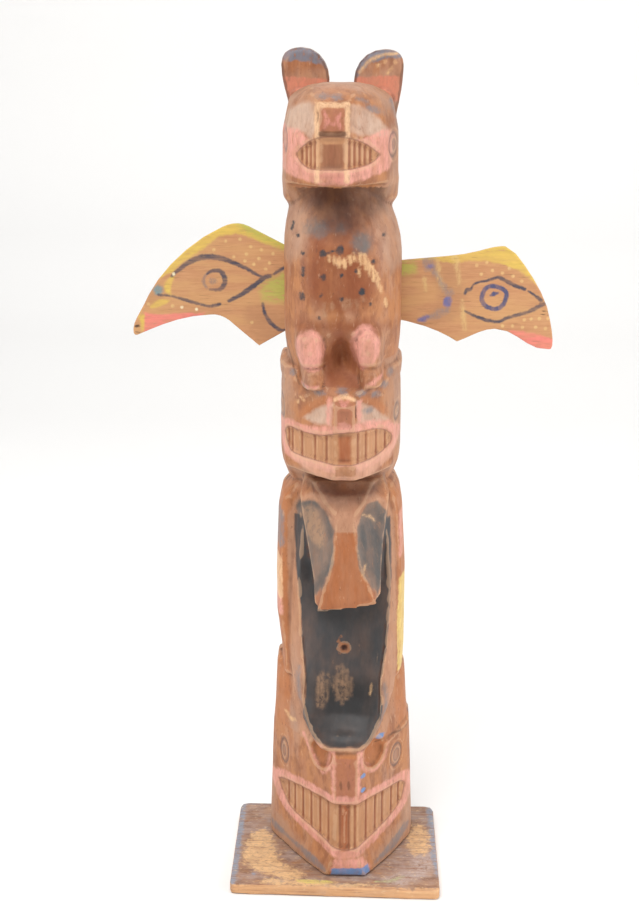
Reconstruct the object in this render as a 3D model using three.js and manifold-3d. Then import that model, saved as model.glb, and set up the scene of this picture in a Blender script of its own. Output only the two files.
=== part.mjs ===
// Carved totem pole on a thin base board, with two separate wing boards.
// Millimetres, +Z up, the figures face -Y, origin in the middle of the board's underside.
import * as THREE from 'three';
import { mergeVertices } from 'three/addons/utils/BufferGeometryUtils.js';
import Module from 'manifold-3d';

const wasm = await Module();
wasm.setup();

// ---------------------------------------------------------------- driving sizes
const TOTAL_HEIGHT = 432;
const GAP = 0.3; // clearance between pieces that touch
const WELD = 0.001; // points closer than this are one point

const BOARD = {
  rearLeft: [-56.4, 44.2], rearRight: [55.9, 43.2],
  frontRight: [56.3, -45.0], frontLeft: [-55.8, -42.5],
  thickness: 6.5, rearRadius: 5, frontRadius: 3, edge: 0.7,
};

const POLE_FOOT = BOARD.thickness + GAP;
const BACK = 29; // the flat back of the billet
const AHEAD = -60; // in front of every carved face, where cutters start
const MOUTH_BACK = 8; // how far back the mouth cutters reach
const ROUNDING = { back: 2.5, side: 6, cheek: 1.6, nose: 0.9 };

// Each head: left and right are its widest sides, nose is the flat strip down its front.
const TOP_HEAD = {
  left: -27.8, right: 29.6, cheekLeft: -24.6, cheekRight: 23.2, noseLeft: -8, noseRight: 3.8,
  jawFoot: 357, chin: 370.3, noseFoot: 393.5, noseTop: 408, crown: 417,
  front: -27.5,
};
const MIDDLE_HEAD = {
  left: -29.4, right: 32.6, cheekLeft: -26.2, cheekRight: 28.6, noseLeft: -0.6, noseRight: 8.8,
  jawFoot: 217, chin: 227, noseFoot: 253.5, noseTop: 269, crown: 281,
  front: -32,
};
const BOTTOM_HEAD = {
  left: -36.8, right: 42, cheekLeft: -31.4, cheekRight: 38, noseLeft: -0.4, noseRight: 11.8,
  jawFoot: POLE_FOOT, chin: 14, noseFoot: 49.8, noseTop: 78, crown: 111, crownSlope: -0.07,
  browStep: [[20, 73], [27, 74.6], [50, 80.5], [50, 130], [20, 130]], // right side only
  front: -33.5,
};

const BODY = { centre: 2.4, foot: 270, thigh: 300, head: 370, halfWidth: 29.6, front: -23, hip: -13, neck: -11 };
const LEGS = [
  { knee: [-12.4, -24.5, 292], width: 8.6, foot: [-10.8, -27.5, 276] },
  { knee: [15.4, -24.5, 292.5], width: 8.2, foot: [16.6, -27, 277] },
];
const LEG_GAP = { x: 2.6, halfWidth: 6.2, mouth: -15, floor: -3, top: 298 };
const BIRD = { left: -31.4, right: 36.0, foot: 110, shoulder: 204, top: 222, front: -4 };
const SHIELD = { centre: 4.2, halfWidth: 28.8, foot: 78.5, top: 221, lipFront: -33, sideFront: -3 };
const BEAK = { top: 222, ridgeTop: 206, edge: 164.5, left: -10.5, right: 22.8, front: -35 };
const EAR = { thickness: 8, rounding: 1.6 };
const WING = { thickness: 3, rounding: 0.5, overlap: 9 };

// ---------------------------------------------------------------- geometry helpers
function toSolid(geometry) {
  const bare = geometry.clone();
  bare.deleteAttribute('normal');
  bare.deleteAttribute('uv');
  const merged = mergeVertices(bare, WELD);
  return new wasm.Manifold(new wasm.Mesh({
    numProp: 3,
    vertProperties: new Float32Array(merged.attributes.position.array),
    triVerts: new Uint32Array(merged.index.array),
  }));
}

function toGeometry(solid) {
  const { vertProperties, triVerts } = solid.getMesh();
  const geometry = new THREE.BufferGeometry();
  geometry.setAttribute('position', new THREE.BufferAttribute(new Float32Array(vertProperties), 3));
  geometry.setIndex(new THREE.BufferAttribute(new Uint32Array(triVerts), 1));
  return geometry;
}

function toMesh(name, solid, material) {
  const geometry = toGeometry(solid);
  geometry.computeVertexNormals();
  const mesh = new THREE.Mesh(geometry, material);
  mesh.name = name;
  return mesh;
}

// Cuts that graze a face leave flat slivers: weld near points and keep the real body until only that is left.
function withoutSlivers(solid) {
  let whole = solid;
  for (let pass = 0; pass < 6; pass += 1) {
    const bodies = toSolid(toGeometry(whole)).decompose();
    whole = bodies.reduce((largest, body) => (body.volume() > largest.volume() ? body : largest));
    if (bodies.length === 1) break;
  }
  return whole;
}

const join = (solids) => solids.reduce((whole, next) => whole.add(next));
const mix = THREE.MathUtils.lerp;

// A closed body through a stack of level rings; every ring has as many points, counterclockwise from above.
function loft(levels) {
  const count = levels[0].ring.length;
  const positions = [];
  const index = [];
  for (const { z, slope = 0, ring } of levels) {
    for (const [x, y] of ring) positions.push(x, y, z + slope * x);
  }
  for (let level = 0; level < levels.length - 1; level += 1) {
    for (let i = 0; i < count; i += 1) {
      const a = level * count + i;
      const b = level * count + (i + 1) % count;
      index.push(a, b, b + count, a, b + count, a + count);
    }
  }
  for (const [level, flip] of [[0, true], [levels.length - 1, false]]) {
    const { z, slope = 0, ring } = levels[level];
    const middle = positions.length / 3;
    const x = ring.reduce((sum, p) => sum + p[0], 0) / count;
    const y = ring.reduce((sum, p) => sum + p[1], 0) / count;
    positions.push(x, y, z + slope * x);
    for (let i = 0; i < count; i += 1) {
      const a = level * count + i;
      const b = level * count + (i + 1) % count;
      index.push(...(flip ? [b, a, middle] : [a, b, middle]));
    }
  }
  const geometry = new THREE.BufferGeometry();
  geometry.setAttribute('position', new THREE.Float32BufferAttribute(positions, 3));
  geometry.setIndex(index);
  return toSolid(geometry);
}

// Corner list [x, y, radius, bulge of the edge that follows] to a ring with rounded corners.
function roundRing(corners) {
  const ring = [];
  corners.forEach(([x, y, radius, bulge = 0], i) => {
    const before = corners[(i + corners.length - 1) % corners.length];
    const after = corners[(i + 1) % corners.length];
    const here = new THREE.Vector2(x, y);
    const toward = (p) => {
      const step = new THREE.Vector2(p[0] - x, p[1] - y);
      return here.clone().addScaledVector(step.clone().normalize(), Math.min(radius, step.length() * 0.4));
    };
    const turn = new THREE.QuadraticBezierCurve(toward(before), here, toward(after));
    for (const t of [0, 0.5, 1]) ring.push(turn.getPoint(t).toArray());
    if (bulge) {
      const edge = new THREE.Vector2(after[0] - x, after[1] - y);
      const outward = new THREE.Vector2(edge.y, -edge.x).normalize();
      for (const t of [0.36, 0.68]) {
        ring.push(here.clone().addScaledVector(edge, t).addScaledVector(outward, bulge).toArray());
      }
    }
  });
  return ring;
}

// Level outline of a head: flat back, sides, cheeks, and a prow that ends in the nose strip.
function prowRing(head, { spread = 1, front = head.front, cheekY, back = BACK, strip = 1 }) {
  const centre = (head.left + head.right) / 2;
  const wide = (x) => centre + (x - centre) * spread;
  const nose = (head.noseLeft + head.noseRight) / 2;
  const noseHalf = (head.noseRight - head.noseLeft) / 2 * strip;
  const sideY = Math.min(back - 8, Math.max(cheekY + 8, 11));
  return roundRing([
    [wide(head.right), back, ROUNDING.back],
    [wide(head.left), back, ROUNDING.back],
    [wide(head.left), sideY, ROUNDING.side],
    [wide(head.cheekLeft), cheekY, ROUNDING.cheek, 0.9],
    [nose - noseHalf, front, ROUNDING.nose],
    [nose + noseHalf, front, ROUNDING.nose, 0.9],
    [wide(head.cheekRight), cheekY, ROUNDING.cheek],
    [wide(head.right), sideY, ROUNDING.side],
  ]);
}

const headLoft = (head, rows) => loft(rows.map((row) => ({ ...row, ring: prowRing(head, row) })));

// Half-round outline with a flat back; squareness 1 is an ellipse, larger is boxier.
function barrelRing(centre, half, front, back, squareness, points = 20) {
  const middle = back - 9;
  const ring = [[centre + half * 0.93, back], [centre - half * 0.93, back]];
  for (let i = 0; i <= points; i += 1) {
    const angle = Math.PI * (1 + i / points);
    const cos = Math.cos(angle);
    const sin = Math.sin(angle);
    ring.push([
      centre + half * Math.sign(cos) * Math.abs(cos) ** (1 / squareness),
      middle + (middle - front) * Math.sign(sin) * Math.abs(sin) ** (1 / squareness),
    ]);
  }
  return ring;
}

// An outline in the X-Z plane, run along Y from near to far.
function frontPrism(shape, near, far, bevel = 0) {
  const geometry = new THREE.ExtrudeGeometry(shape, {
    depth: far - near - 2 * bevel, curveSegments: 5, bevelEnabled: bevel > 0,
    bevelThickness: bevel, bevelSize: bevel, bevelOffset: -bevel, bevelSegments: 1,
  });
  geometry.rotateX(Math.PI / 2);
  geometry.translate(0, far - bevel, 0);
  return toSolid(geometry);
}

function ellipsoid([x, y, z], [rx, ry, rz], turn = 0, lean = 0) {
  const geometry = new THREE.SphereGeometry(1, 14, 9);
  geometry.scale(rx, ry, rz);
  geometry.rotateY(lean);
  geometry.rotateZ(turn);
  geometry.translate(x, y, z);
  return toSolid(geometry);
}

function block([x0, x1], [y0, y1], [z0, z1]) {
  const geometry = new THREE.BoxGeometry(x1 - x0, y1 - y0, z1 - z0);
  geometry.translate((x0 + x1) / 2, (y0 + y1) / 2, (z0 + z1) / 2);
  return toSolid(geometry);
}

const shapeThrough = (points) => new THREE.Shape(points.map(([x, z]) => new THREE.Vector2(x, z)));

// ---------------------------------------------------------------- mouths
// The mouth follows the prow: a shallow recess between two curves, then upright tooth cuts.
function mouthOutline({ left, right, cornerZ, upper, lower }, growX = 1, growZ = 1) {
  const middle = [(left + right) / 2, (cornerZ[0] + cornerZ[1]) / 2 - 3]; // the mouth hangs below its corners
  const curve = (points) => new THREE.SplineCurve(points.map(([x, z]) => new THREE.Vector2(
    mix(middle[0], x, growX), mix(middle[1], z, growZ),
  ))).getPoints(12);
  const top = curve([[left, cornerZ[0]], ...upper, [right, cornerZ[1]]]);
  const bottom = curve([[right, cornerZ[1]], ...lower, [left, cornerZ[0]]]);
  return shapeThrough([...top, ...bottom.slice(1, -1)].map((p) => [p.x, p.y]));
}

// Takes a region away and fills it again with a moved copy of the solid, which sinks the surface there.
// The plug is the region a little larger, so that no two faces lie on each other.
function refill(solid, region, plug, moved) {
  return solid.subtract(region).add(moved.intersect(plug));
}

function carveMouth(head, mouth) {
  const { depth, cutDepth, cutWidth, cuts, floor, ceiling } = mouth;
  const grooves = join(cuts.map((x) => (
    block([x - cutWidth / 2, x + cutWidth / 2], [AHEAD, MOUTH_BACK + 1], [floor, ceiling])
  )));
  const teeth = head.translate([0, depth, 0]).subtract(grooves.subtract(head.translate([0, depth + cutDepth, 0])));
  const opening = frontPrism(mouthOutline(mouth), AHEAD, MOUTH_BACK);
  const plug = frontPrism(mouthOutline(mouth, 1.04, 1.1), AHEAD, MOUTH_BACK + 0.6);
  return refill(head, opening, plug, teeth);
}

// ---------------------------------------------------------------- eyes
// Each eye is gouged out of the prow beside the nose, which stays standing between the two.
// along runs from the nose edge (0) to the cheek (1); lean turns the gouge in its own face.
function carveEyes(head, sizes, eyes) {
  const { noseLeft, noseRight, cheekLeft, cheekRight, front, cheekFront, noseFoot, noseTop } = sizes;
  const nose = block([noseLeft - 0.4, noseRight + 0.4], [AHEAD, 0], [noseFoot - 1, noseTop + 3]);
  const gouges = eyes.map(({ side, along, z, length, depth, height, lean }) => {
    const start = new THREE.Vector2(side < 0 ? noseLeft : noseRight, front);
    const end = new THREE.Vector2(side < 0 ? cheekLeft : cheekRight, cheekFront);
    const spot = start.clone().lerp(end, along);
    const run = end.clone().sub(start);
    const turn = Math.atan2(run.y * Math.sign(run.x), Math.abs(run.x));
    return ellipsoid([spot.x, spot.y - 1, z], [length, depth, height], turn, lean * side);
  });
  return head.subtract(join(gouges).subtract(nose));
}

// ---------------------------------------------------------------- the three heads
function topHead() {
  const { jawFoot, chin, noseFoot, noseTop, crown, front } = TOP_HEAD;
  let head = headLoft(TOP_HEAD, [
    { z: jawFoot - 3, spread: 0.8, front: 6, cheekY: 12, strip: 1.6 },
    { z: jawFoot - 0.5, spread: 0.9, front: 0, cheekY: 8, strip: 1.6 },
    { z: jawFoot + 4, spread: 0.99, front: -4, cheekY: 2, strip: 1.6 },
    { z: chin - 0.6, spread: 1.01, front: -11, cheekY: -5, strip: 1.5 },
    { z: chin, spread: 1.01, front: front + 1.6, cheekY: -7.4 },
    { z: chin + 2.5, front, cheekY: -8.3 },
    { z: noseFoot, spread: 0.99, front: front - 0.6, cheekY: -8.6 },
    { z: noseTop - 6, spread: 0.93, front: front - 0.6, cheekY: -8.2 },
    { z: noseTop - 0.5, spread: 0.885, front: front + 0.4, cheekY: -7 },
    { z: noseTop + 1, spread: 0.86, front: front + 3, cheekY: -6.4, strip: 1.2, back: 26 },
    { z: crown - 5, spread: 0.74, front: front + 8, cheekY: -5, strip: 1.7, back: 19 },
    { z: crown - 2.2, spread: 0.54, front: front + 14, cheekY: -4, strip: 1.8, back: 13 },
    { z: crown - 0.6, spread: 0.28, front: front + 19, cheekY: -4, strip: 1.2, back: 8 },
  ]);
  head = carveMouth(head, {
    left: -19.6, right: 20.4, cornerZ: [384.8, 383.8],
    upper: [[-15.2, 389.2], [-8.6, 392.9], [3.7, 393.1], [11.6, 390.4], [16.3, 387.2]],
    lower: [[16.4, 380.8], [8.4, 378.7], [-4.6, 378.4], [-13.2, 378.6], [-17.7, 381.4]],
    depth: 1.7, cutDepth: 1, cutWidth: 0.9, floor: 376, ceiling: 396,
    cuts: [-16.6, -14.4, -12.4, -10.4, 5.8, 8.2, 10.6, 13, 15.6],
  });
  return carveEyes(head, { ...TOP_HEAD, cheekFront: -8.4 }, [
    { side: -1, along: 0.42, z: 401, length: 10.5, depth: 3.2, height: 6.6, lean: 0.42 },
    { side: 1, along: 0.48, z: 400, length: 12, depth: 3.2, height: 6.2, lean: 0.42 },
  ]);
}

function middleHead() {
  const { jawFoot, chin, noseFoot, noseTop, crown, front } = MIDDLE_HEAD;
  let head = headLoft(MIDDLE_HEAD, [
    { z: jawFoot - 4, spread: 0.8, front: 2, cheekY: 10, strip: 1.8 },
    { z: jawFoot + 1, spread: 0.88, front: -4, cheekY: 4, strip: 1.8 },
    { z: chin - 0.8, spread: 0.97, front: -12, cheekY: -3, strip: 1.8 },
    { z: chin, spread: 0.97, front: front + 2, cheekY: -5, strip: 1.25 },
    { z: chin + 2.6, spread: 0.99, front: front + 0.4, cheekY: -5.6, strip: 1.1 },
    { z: chin + 7, spread: 1, front, cheekY: -6 },
    { z: noseFoot, spread: 1, front: front - 1.2, cheekY: -6.4 },
    { z: noseTop - 1.5, spread: 0.99, front: front - 1.2, cheekY: -6.4 },
    { z: noseTop, spread: 0.985, front: front - 0.2, cheekY: -6.2 },
    { z: noseTop + 2.2, spread: 0.98, front: front + 4, cheekY: -5.6, strip: 1.7 },
    { z: noseTop + 4.4, spread: 1, front: front + 10, cheekY: -4, strip: 2.4 },
    { z: crown - 2.5, spread: 1.01, front: -8, cheekY: -1, strip: 3 },
    { z: crown, spread: 0.97, front: 3, cheekY: 9, strip: 3 },
  ]);
  head = carveMouth(head, {
    left: -26.2, right: 28, cornerZ: [246, 244],
    upper: [[-23.6, 248.8], [-16.7, 248.2], [-6.9, 249.2], [0, 251.6], [8.4, 252.2], [14, 251.6], [20, 250.8],
      [24.8, 248]],
    lower: [[26.8, 240.6], [19.8, 236.9], [8.5, 235.6], [-0.3, 235.6], [-10, 235.6], [-17.3, 235.6], [-23.6, 237]],
    depth: 1.5, cutDepth: 1, cutWidth: 1, floor: 233, ceiling: 254,
    cuts: [-24, -22.3, -17.2, -10.5, -4.7, 10.9, 14.8, 19.8, 24.3],
  });
  return carveEyes(head, { ...MIDDLE_HEAD, cheekFront: -6.4 }, [
    { side: -1, along: 0.26, z: 259.6, length: 12, depth: 4.2, height: 6.2, lean: 0.5 },
    { side: 1, along: 0.3, z: 259.4, length: 12.5, depth: 4.2, height: 6, lean: 0.5 },
  ]);
}

function bottomHead() {
  const { jawFoot, chin, noseFoot, noseTop, crown, crownSlope, browStep, front } = BOTTOM_HEAD;
  let head = headLoft(BOTTOM_HEAD, [
    { z: jawFoot, spread: 1.005, front: front + 0.4, cheekY: 4.2, strip: 1.75 },
    { z: chin, spread: 1, front: front - 0.6, cheekY: 4, strip: 1.35 },
    { z: chin + 7, spread: 0.995, front: front + 0.2, cheekY: 4, strip: 1.1 },
    { z: noseFoot, spread: 0.97, front: front - 0.8, cheekY: 3.6 },
    { z: noseTop - 4, spread: 0.945, front: front - 0.4, cheekY: 2.6 },
    { z: noseTop, spread: 0.935, front: front + 1.4, cheekY: 2.2, strip: 1.2 },
    { z: noseTop + 7, spread: 0.92, front: front + 8, cheekY: 2, strip: 1.6 },
    { z: noseTop + 14, spread: 0.91, front: -15, cheekY: 2, strip: 2.6 },
    { z: crown - 3, slope: crownSlope, spread: 0.89, front: -6, cheekY: 3, strip: 3 },
    { z: crown, slope: crownSlope, spread: 0.87, front: -4, cheekY: 4, strip: 3 },
  ]);
  const aboveStep = (drop) => (
    frontPrism(shapeThrough(browStep.map(([x, z]) => [x - drop, z - drop])), AHEAD, BACK + 5)
  );
  head = refill(head, aboveStep(0), aboveStep(0.7), head.translate([-0.8, 1, -0.3]));
  head = carveMouth(head, {
    left: -31.6, right: 37.8, cornerZ: [43.6, 42.2],
    upper: [[-24.9, 46.8], [-15.6, 48.9], [-6.7, 49.8], [0.8, 49.6], [11.8, 49.4], [19.7, 48.8], [27.8, 47.2],
      [34.6, 45.4]],
    lower: [[35.8, 33.8], [29.7, 29.6], [22.6, 27.2], [16.2, 25], [10.9, 23.2], [5.6, 22.2], [-0.2, 23.6],
      [-6.1, 26.4], [-12.8, 28.6], [-19.1, 29.9], [-26.1, 33]],
    depth: 1.7, cutDepth: 1.1, cutWidth: 1.1, floor: 20, ceiling: 52,
    cuts: [-25.6, -22, -17.4, -12.8, -7.8, -3.4, 2.9, 7.6, 10.8, 16.6, 21.4, 25.2, 30.2, 34.1],
  });
  return carveEyes(head, { ...BOTTOM_HEAD, cheekFront: 3 }, [
    { side: -1, along: 0.24, z: 76, length: 9, depth: 5.4, height: 9.4, lean: -0.5 },
    { side: 1, along: 0.36, z: 74, length: 10, depth: 5.4, height: 8.4, lean: 0 },
  ]);
}

// ---------------------------------------------------------------- the barrel body and its legs
function barrelBody() {
  const { centre, foot, thigh, head, halfWidth, front, hip, neck } = BODY;
  const { smoothstep } = THREE.MathUtils;
  const levels = [];
  for (let z = foot; z <= head + 0.01; z += (head - foot) / 14) {
    const hips = 1 - smoothstep(z, foot + 8, thigh + 4);
    const shoulder = smoothstep(z, 332, head + 4);
    const waist = smoothstep(z, foot, thigh);
    levels.push({
      z,
      ring: barrelRing(
        centre - 2.5 * shoulder,
        halfWidth * mix(0.93, 1, waist) * (1 - 0.27 * shoulder ** 1.4),
        mix(mix(front, hip, hips), neck, shoulder),
        BACK,
        mix(1.3, 1.12, shoulder),
      ),
    });
  }
  return loft(levels);
}

function leg({ knee, width, foot }) {
  const rows = [
    [foot[2] - 4, foot[0], width * 0.82, foot[1] - 0.6],
    [foot[2], foot[0], width * 0.84, foot[1] + 0.4],
    [knee[2] - 9, mix(foot[0], knee[0], 0.6), width * 0.86, knee[1] + 1],
    [knee[2] - 8.6, mix(foot[0], knee[0], 0.6), width * 0.92, knee[1] - 0.8],
    [knee[2] - 2, knee[0], width, knee[1] - 1.8],
    [knee[2] + 4.5, knee[0] * 1.03, width * 0.98, knee[1] - 1.4],
    [knee[2] + 8.5, knee[0] * 1.06, width * 0.84, knee[1] + 0.8],
    [knee[2] + 11, knee[0] * 1.08, width * 0.6, knee[1] + 3.6],
    [knee[2] + 12.4, knee[0] * 1.09, width * 0.25, knee[1] + 7],
  ];
  return loft(rows.map(([z, x, half, front]) => ({ z, ring: barrelRing(x, half, front, 10, 1.3, 12) })));
}

// The valley between the legs closes to a line at its back and narrows upward under the belly.
function legGap() {
  const { x, halfWidth, mouth, floor, top } = LEG_GAP;
  const foot = BODY.foot + 1;
  const rows = [[foot, 1], [mix(foot, top, 0.5), 0.94], [mix(foot, top, 0.8), 0.66], [top, 0.12]];
  return loft(rows.map(([z, open]) => ({
    z,
    ring: [
      [x + halfWidth * open, AHEAD], [x + halfWidth * open, mouth], [x, mix(mouth, floor, open)],
      [x - halfWidth * open, mouth], [x - halfWidth * open, AHEAD],
    ],
  })));
}

// ---------------------------------------------------------------- the bird figure
function birdBack() {
  const { left, right, foot, shoulder, top, front } = BIRD;
  const centre = (left + right) / 2;
  const rows = [ // height, how far each side reaches out, front
    [foot, 0.93, 0.98, front], [foot + 14, 0.95, 1, front], [foot + 33, 1.02, 1, front],
    [mix(foot, shoulder, 0.6), 1.02, 1, front],
    [shoulder - 4, 0.985, 0.945, front], [shoulder + 5, 0.93, 0.9, front + 1],
    [shoulder + 11, 0.78, 0.82, front + 3], [top - 3, 0.68, 0.66, front + 6],
  ];
  return loft(rows.map(([z, reachLeft, reachRight, y]) => {
    const x0 = mix(centre, left, reachLeft);
    const x1 = mix(centre, right, reachRight);
    return { z, ring: roundRing([
      [x1, BACK, ROUNDING.back], [x0, BACK, ROUNDING.back], [x0, 10, 5], [x0 + 2.4, y, 3],
      [x1 - 2.4, y, 3], [x1, 10, 5],
    ]) };
  }));
}

function shieldFront() {
  const { centre, halfWidth, foot, top, lipFront, sideFront } = SHIELD;
  const rows = [
    { z: foot, side: 12.4, sideY: -22, strip: 8, front: lipFront + 2.4 },
    { z: foot + 3, side: 15.4, sideY: -21, strip: 9.4, front: lipFront },
    { z: foot + 8, side: 19.2, sideY: -17.5, strip: 11, front: lipFront + 0.5 },
    { z: foot + 16, side: 22.6, sideY: -14, strip: 12, front: lipFront + 1.8 },
    { z: foot + 27, side: 26.4, sideY: -9.5, strip: 12, front: lipFront + 3.6 },
    { z: foot + 46, side: halfWidth, sideY: -5, strip: 11.5, front: lipFront + 6 },
    { z: foot + 92, side: halfWidth - 1, sideY: sideFront, strip: 11, front: lipFront + 9 },
    { z: top - 20, side: halfWidth - 3.6, sideY: sideFront, strip: 10, front: lipFront + 12.5 },
    { z: top - 8, side: halfWidth - 7, sideY: sideFront, strip: 8, front: lipFront + 16 },
    { z: top, side: halfWidth - 11, sideY: sideFront, strip: 7, front: lipFront + 20 },
  ];
  return loft(rows.map(({ z, side, sideY, strip, front }) => ({
    z,
    ring: roundRing([
      [centre + side, 12, 1], [centre - side, 12, 1], [centre - side, sideY, 1.6, 1.2],
      [centre - strip, front, 1.5], [centre + strip, front, 1.5, 1.2], [centre + side, sideY, 1.6],
    ]),
  })));
}

// The hollow of the shield: a dish cut back from the front, deepest below the beak, with a small knot hole.
function shieldHollow() {
  const { centre, foot } = SHIELD;
  const rows = [
    { z: foot + 2.2, left: -4, right: 12.6, rim: -32.6, floor: -31.4 },
    { z: foot + 4.4, left: -8, right: 16.6, rim: -29.5, floor: -27.5 },
    { z: foot + 9, left: -12.8, right: 20.4, rim: -26, floor: -21.5 },
    { z: foot + 15, left: -16.4, right: 22.8, rim: -21.5, floor: -16.5 },
    { z: foot + 24, left: -16.8, right: 23.6, rim: -18, floor: -12.5 },
    { z: foot + 36, left: -15.8, right: 23.2, rim: -15.5, floor: -10 },
    { z: foot + 53, left: -17.2, right: 25.6, rim: -13, floor: -8 },
    { z: foot + 90, left: -20.6, right: 28.2, rim: -10.5, floor: -7 },
    { z: foot + 112, left: -19.8, right: 28, rim: -10, floor: -8.5 },
    { z: foot + 128, left: -17.4, right: 25.6, rim: -11.6, floor: -11.4 },
  ];
  const dish = loft(rows.map(({ z, left, right, rim, floor }) => {
    const ring = [[right, AHEAD], [right, rim]];
    for (let i = 1; i < 8; i += 1) {
      const t = i / 8;
      ring.push([mix(right, left, t), mix(rim, floor, Math.sin(Math.PI * t) ** 0.7)]);
    }
    ring.push([left, rim], [left, AHEAD]);
    return { z, ring };
  }));
  const knotHole = new THREE.ConeGeometry(3.6, 12, 5);
  knotHole.translate(centre, -6, -(foot + 52));
  knotHole.rotateX(-Math.PI / 2);
  return dish.add(toSolid(knotHole));
}

function beak() {
  const { top, ridgeTop, edge, left, right, front } = BEAK;
  const rows = [
    { z: edge - 5, side: [left, right, -27], ridge: [left + 1.4, right - 1, front - 0.6] },
    { z: edge + 6.5, side: [left - 0.6, right + 0.2, -23], ridge: [-6, 17.8, front + 1] },
    { z: edge + 14, side: [left - 2, right + 0.4, -20], ridge: [-3, 14, front + 2.4] },
    { z: edge + 27, side: [left - 4.4, right + 1.2, -17], ridge: [-0.6, 10.8, front + 5] },
    { z: ridgeTop, side: [left - 7, right + 3, -14], ridge: [1, 8.8, front + 9.4] },
    { z: ridgeTop + 7, side: [left - 8, right + 4, -12], ridge: [-5, 14, front + 12.6] },
    { z: top, side: [left - 6, right + 1, -6], ridge: [-12, 19, front + 20] },
  ];
  const wedge = loft(rows.map(({ z, side, ridge }) => ({
    z,
    ring: roundRing([
      [side[1], 4, 1], [side[0], 4, 1], [side[0], side[2], 1, -0.8],
      [ridge[0], ridge[2], 0.8], [ridge[1], ridge[2], 0.8, -0.8], [side[1], side[2], 1],
    ]),
  })));
  const under = new THREE.BoxGeometry(60, 60, 20); // the flat cut below the beak, a little out of level
  under.rotateY(-0.13);
  under.rotateX(0.16);
  under.translate(6, -20, edge - 11.2);
  return wedge.subtract(toSolid(under));
}

// ---------------------------------------------------------------- ears
function ear(side) {
  const shape = new THREE.Shape();
  if (side < 0) {
    shape.moveTo(-23.5, 398);
    shape.bezierCurveTo(-24.5, 408, -28.6, 414, -28.5, 424);
    shape.bezierCurveTo(-28.4, 430, -24, TOTAL_HEIGHT, -18.5, TOTAL_HEIGHT);
    shape.bezierCurveTo(-10, TOTAL_HEIGHT, -5, 424, -4.8, 417);
    shape.lineTo(-5.4, 398);
  } else {
    shape.moveTo(27.4, 395);
    shape.bezierCurveTo(28.6, 402, 31.2, 412, 31.6, 423);
    shape.bezierCurveTo(31.8, 429.5, 27.5, 431, 22.5, 431);
    shape.bezierCurveTo(14, 431, 7.4, 425, 7.2, 416);
    shape.lineTo(7.6, 395);
  }
  const slab = frontPrism(shape, BACK - EAR.thickness, BACK, EAR.rounding);
  const middle = side < 0 ? -16.6 : 19.8;
  return slab.subtract(ellipsoid([middle, BACK - EAR.thickness - 2.8, 416], [15, 4.2, 24]));
}

// ---------------------------------------------------------------- base board and wings
function baseBoard() {
  const { rearLeft, rearRight, frontRight, frontLeft, thickness, rearRadius, frontRadius, edge } = BOARD;
  const outline = roundRing([
    [...rearRight, rearRadius], [...rearLeft, rearRadius],
    [...frontLeft, frontRadius], [...frontRight, frontRadius],
  ]);
  const middle = [0, -0.4];
  const inset = (amount) => outline.map(([x, y]) => [
    x - Math.sign(x - middle[0]) * amount, y - Math.sign(y - middle[1]) * amount,
  ]);
  const board = loft([
    { z: 0, ring: inset(edge * 0.6) }, { z: edge * 0.6, ring: outline },
    { z: thickness - edge, ring: outline }, { z: thickness, ring: inset(edge) },
  ]);
  const chip = ellipsoid([44, frontRight[1] - 0.6, thickness + 1.4], [15, 4.4, 3.4], -0.04);
  return board.subtract(chip);
}

function wingShape(side) {
  const shape = new THREE.Shape();
  if (side < 0) {
    shape.moveTo(-28.6 + WING.overlap, 330.5);
    shape.lineTo(-46, 344);
    shape.quadraticCurveTo(-52.4, 347.2, -60.1, 343.4);
    shape.bezierCurveTo(-76, 336.4, -92, 321, -98.9, 308);
    shape.bezierCurveTo(-102.5, 300, -107.2, 294.6, -107.5, 290);
    shape.quadraticCurveTo(-107.8, 285.2, -104.6, 286.2);
    shape.bezierCurveTo(-95, 290.4, -82, 296.6, -66.5, 297.1);
    shape.quadraticCurveTo(-60.4, 298, -54.3, 291.8);
    shape.lineTo(-41.4, 280.8);
    shape.lineTo(-28.6 + WING.overlap, 293.4);
  } else {
    shape.moveTo(32.4 - WING.overlap, 326);
    shape.bezierCurveTo(44, 328.8, 60, 328.6, 71.4, 331.9);
    shape.quadraticCurveTo(80, 334.6, 84.9, 334.4);
    shape.lineTo(90.6, 330.5);
    shape.bezierCurveTo(98, 322, 108, 307, 109.6, 296);
    shape.quadraticCurveTo(113.4, 279.6, 109.4, 279.9);
    shape.bezierCurveTo(97, 279, 92.4, 290.4, 80.8, 290.6);
    shape.bezierCurveTo(74, 290.6, 68, 286, 61.4, 283.7);
    shape.bezierCurveTo(54, 288.2, 46, 293, 32.4 - WING.overlap, 296.6);
  }
  return shape;
}

const wing = (side) => frontPrism(
  wingShape(side), BACK + GAP, BACK + GAP + WING.thickness, WING.rounding,
);

// ---------------------------------------------------------------- the carved pole, all in one
function pole() {
  const torso = join([barrelBody(), ...LEGS.map(leg)]).subtract(legGap());
  const bird = join([birdBack(), shieldFront()]).subtract(shieldHollow()).add(beak());
  const whole = join([bottomHead(), bird, middleHead(), torso, topHead(), ear(-1), ear(1)]);
  const trim = new THREE.BoxGeometry(200, 40, 900);
  trim.translate(0, BACK + 20, 0);
  return withoutSlivers(whole.subtract(toSolid(trim)));
}

// ---------------------------------------------------------------- materials and the finished group
const wood = (color, roughness) => new THREE.MeshStandardMaterial({ color, roughness, metalness: 0 });
const PIECES = [
  ['base_board', baseBoard, wood(0x9a7560, 0.8)],
  ['pole', pole, wood(0xa8663f, 0.68)],
  ['wing_left', () => wing(-1), wood(0xc08a48, 0.75)],
  ['wing_right', () => wing(1), wood(0xc98f50, 0.75)],
];

const totemPole = new THREE.Group();
for (const [name, make, material] of PIECES) totemPole.add(toMesh(name, make(), material));

export default totemPole;
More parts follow.
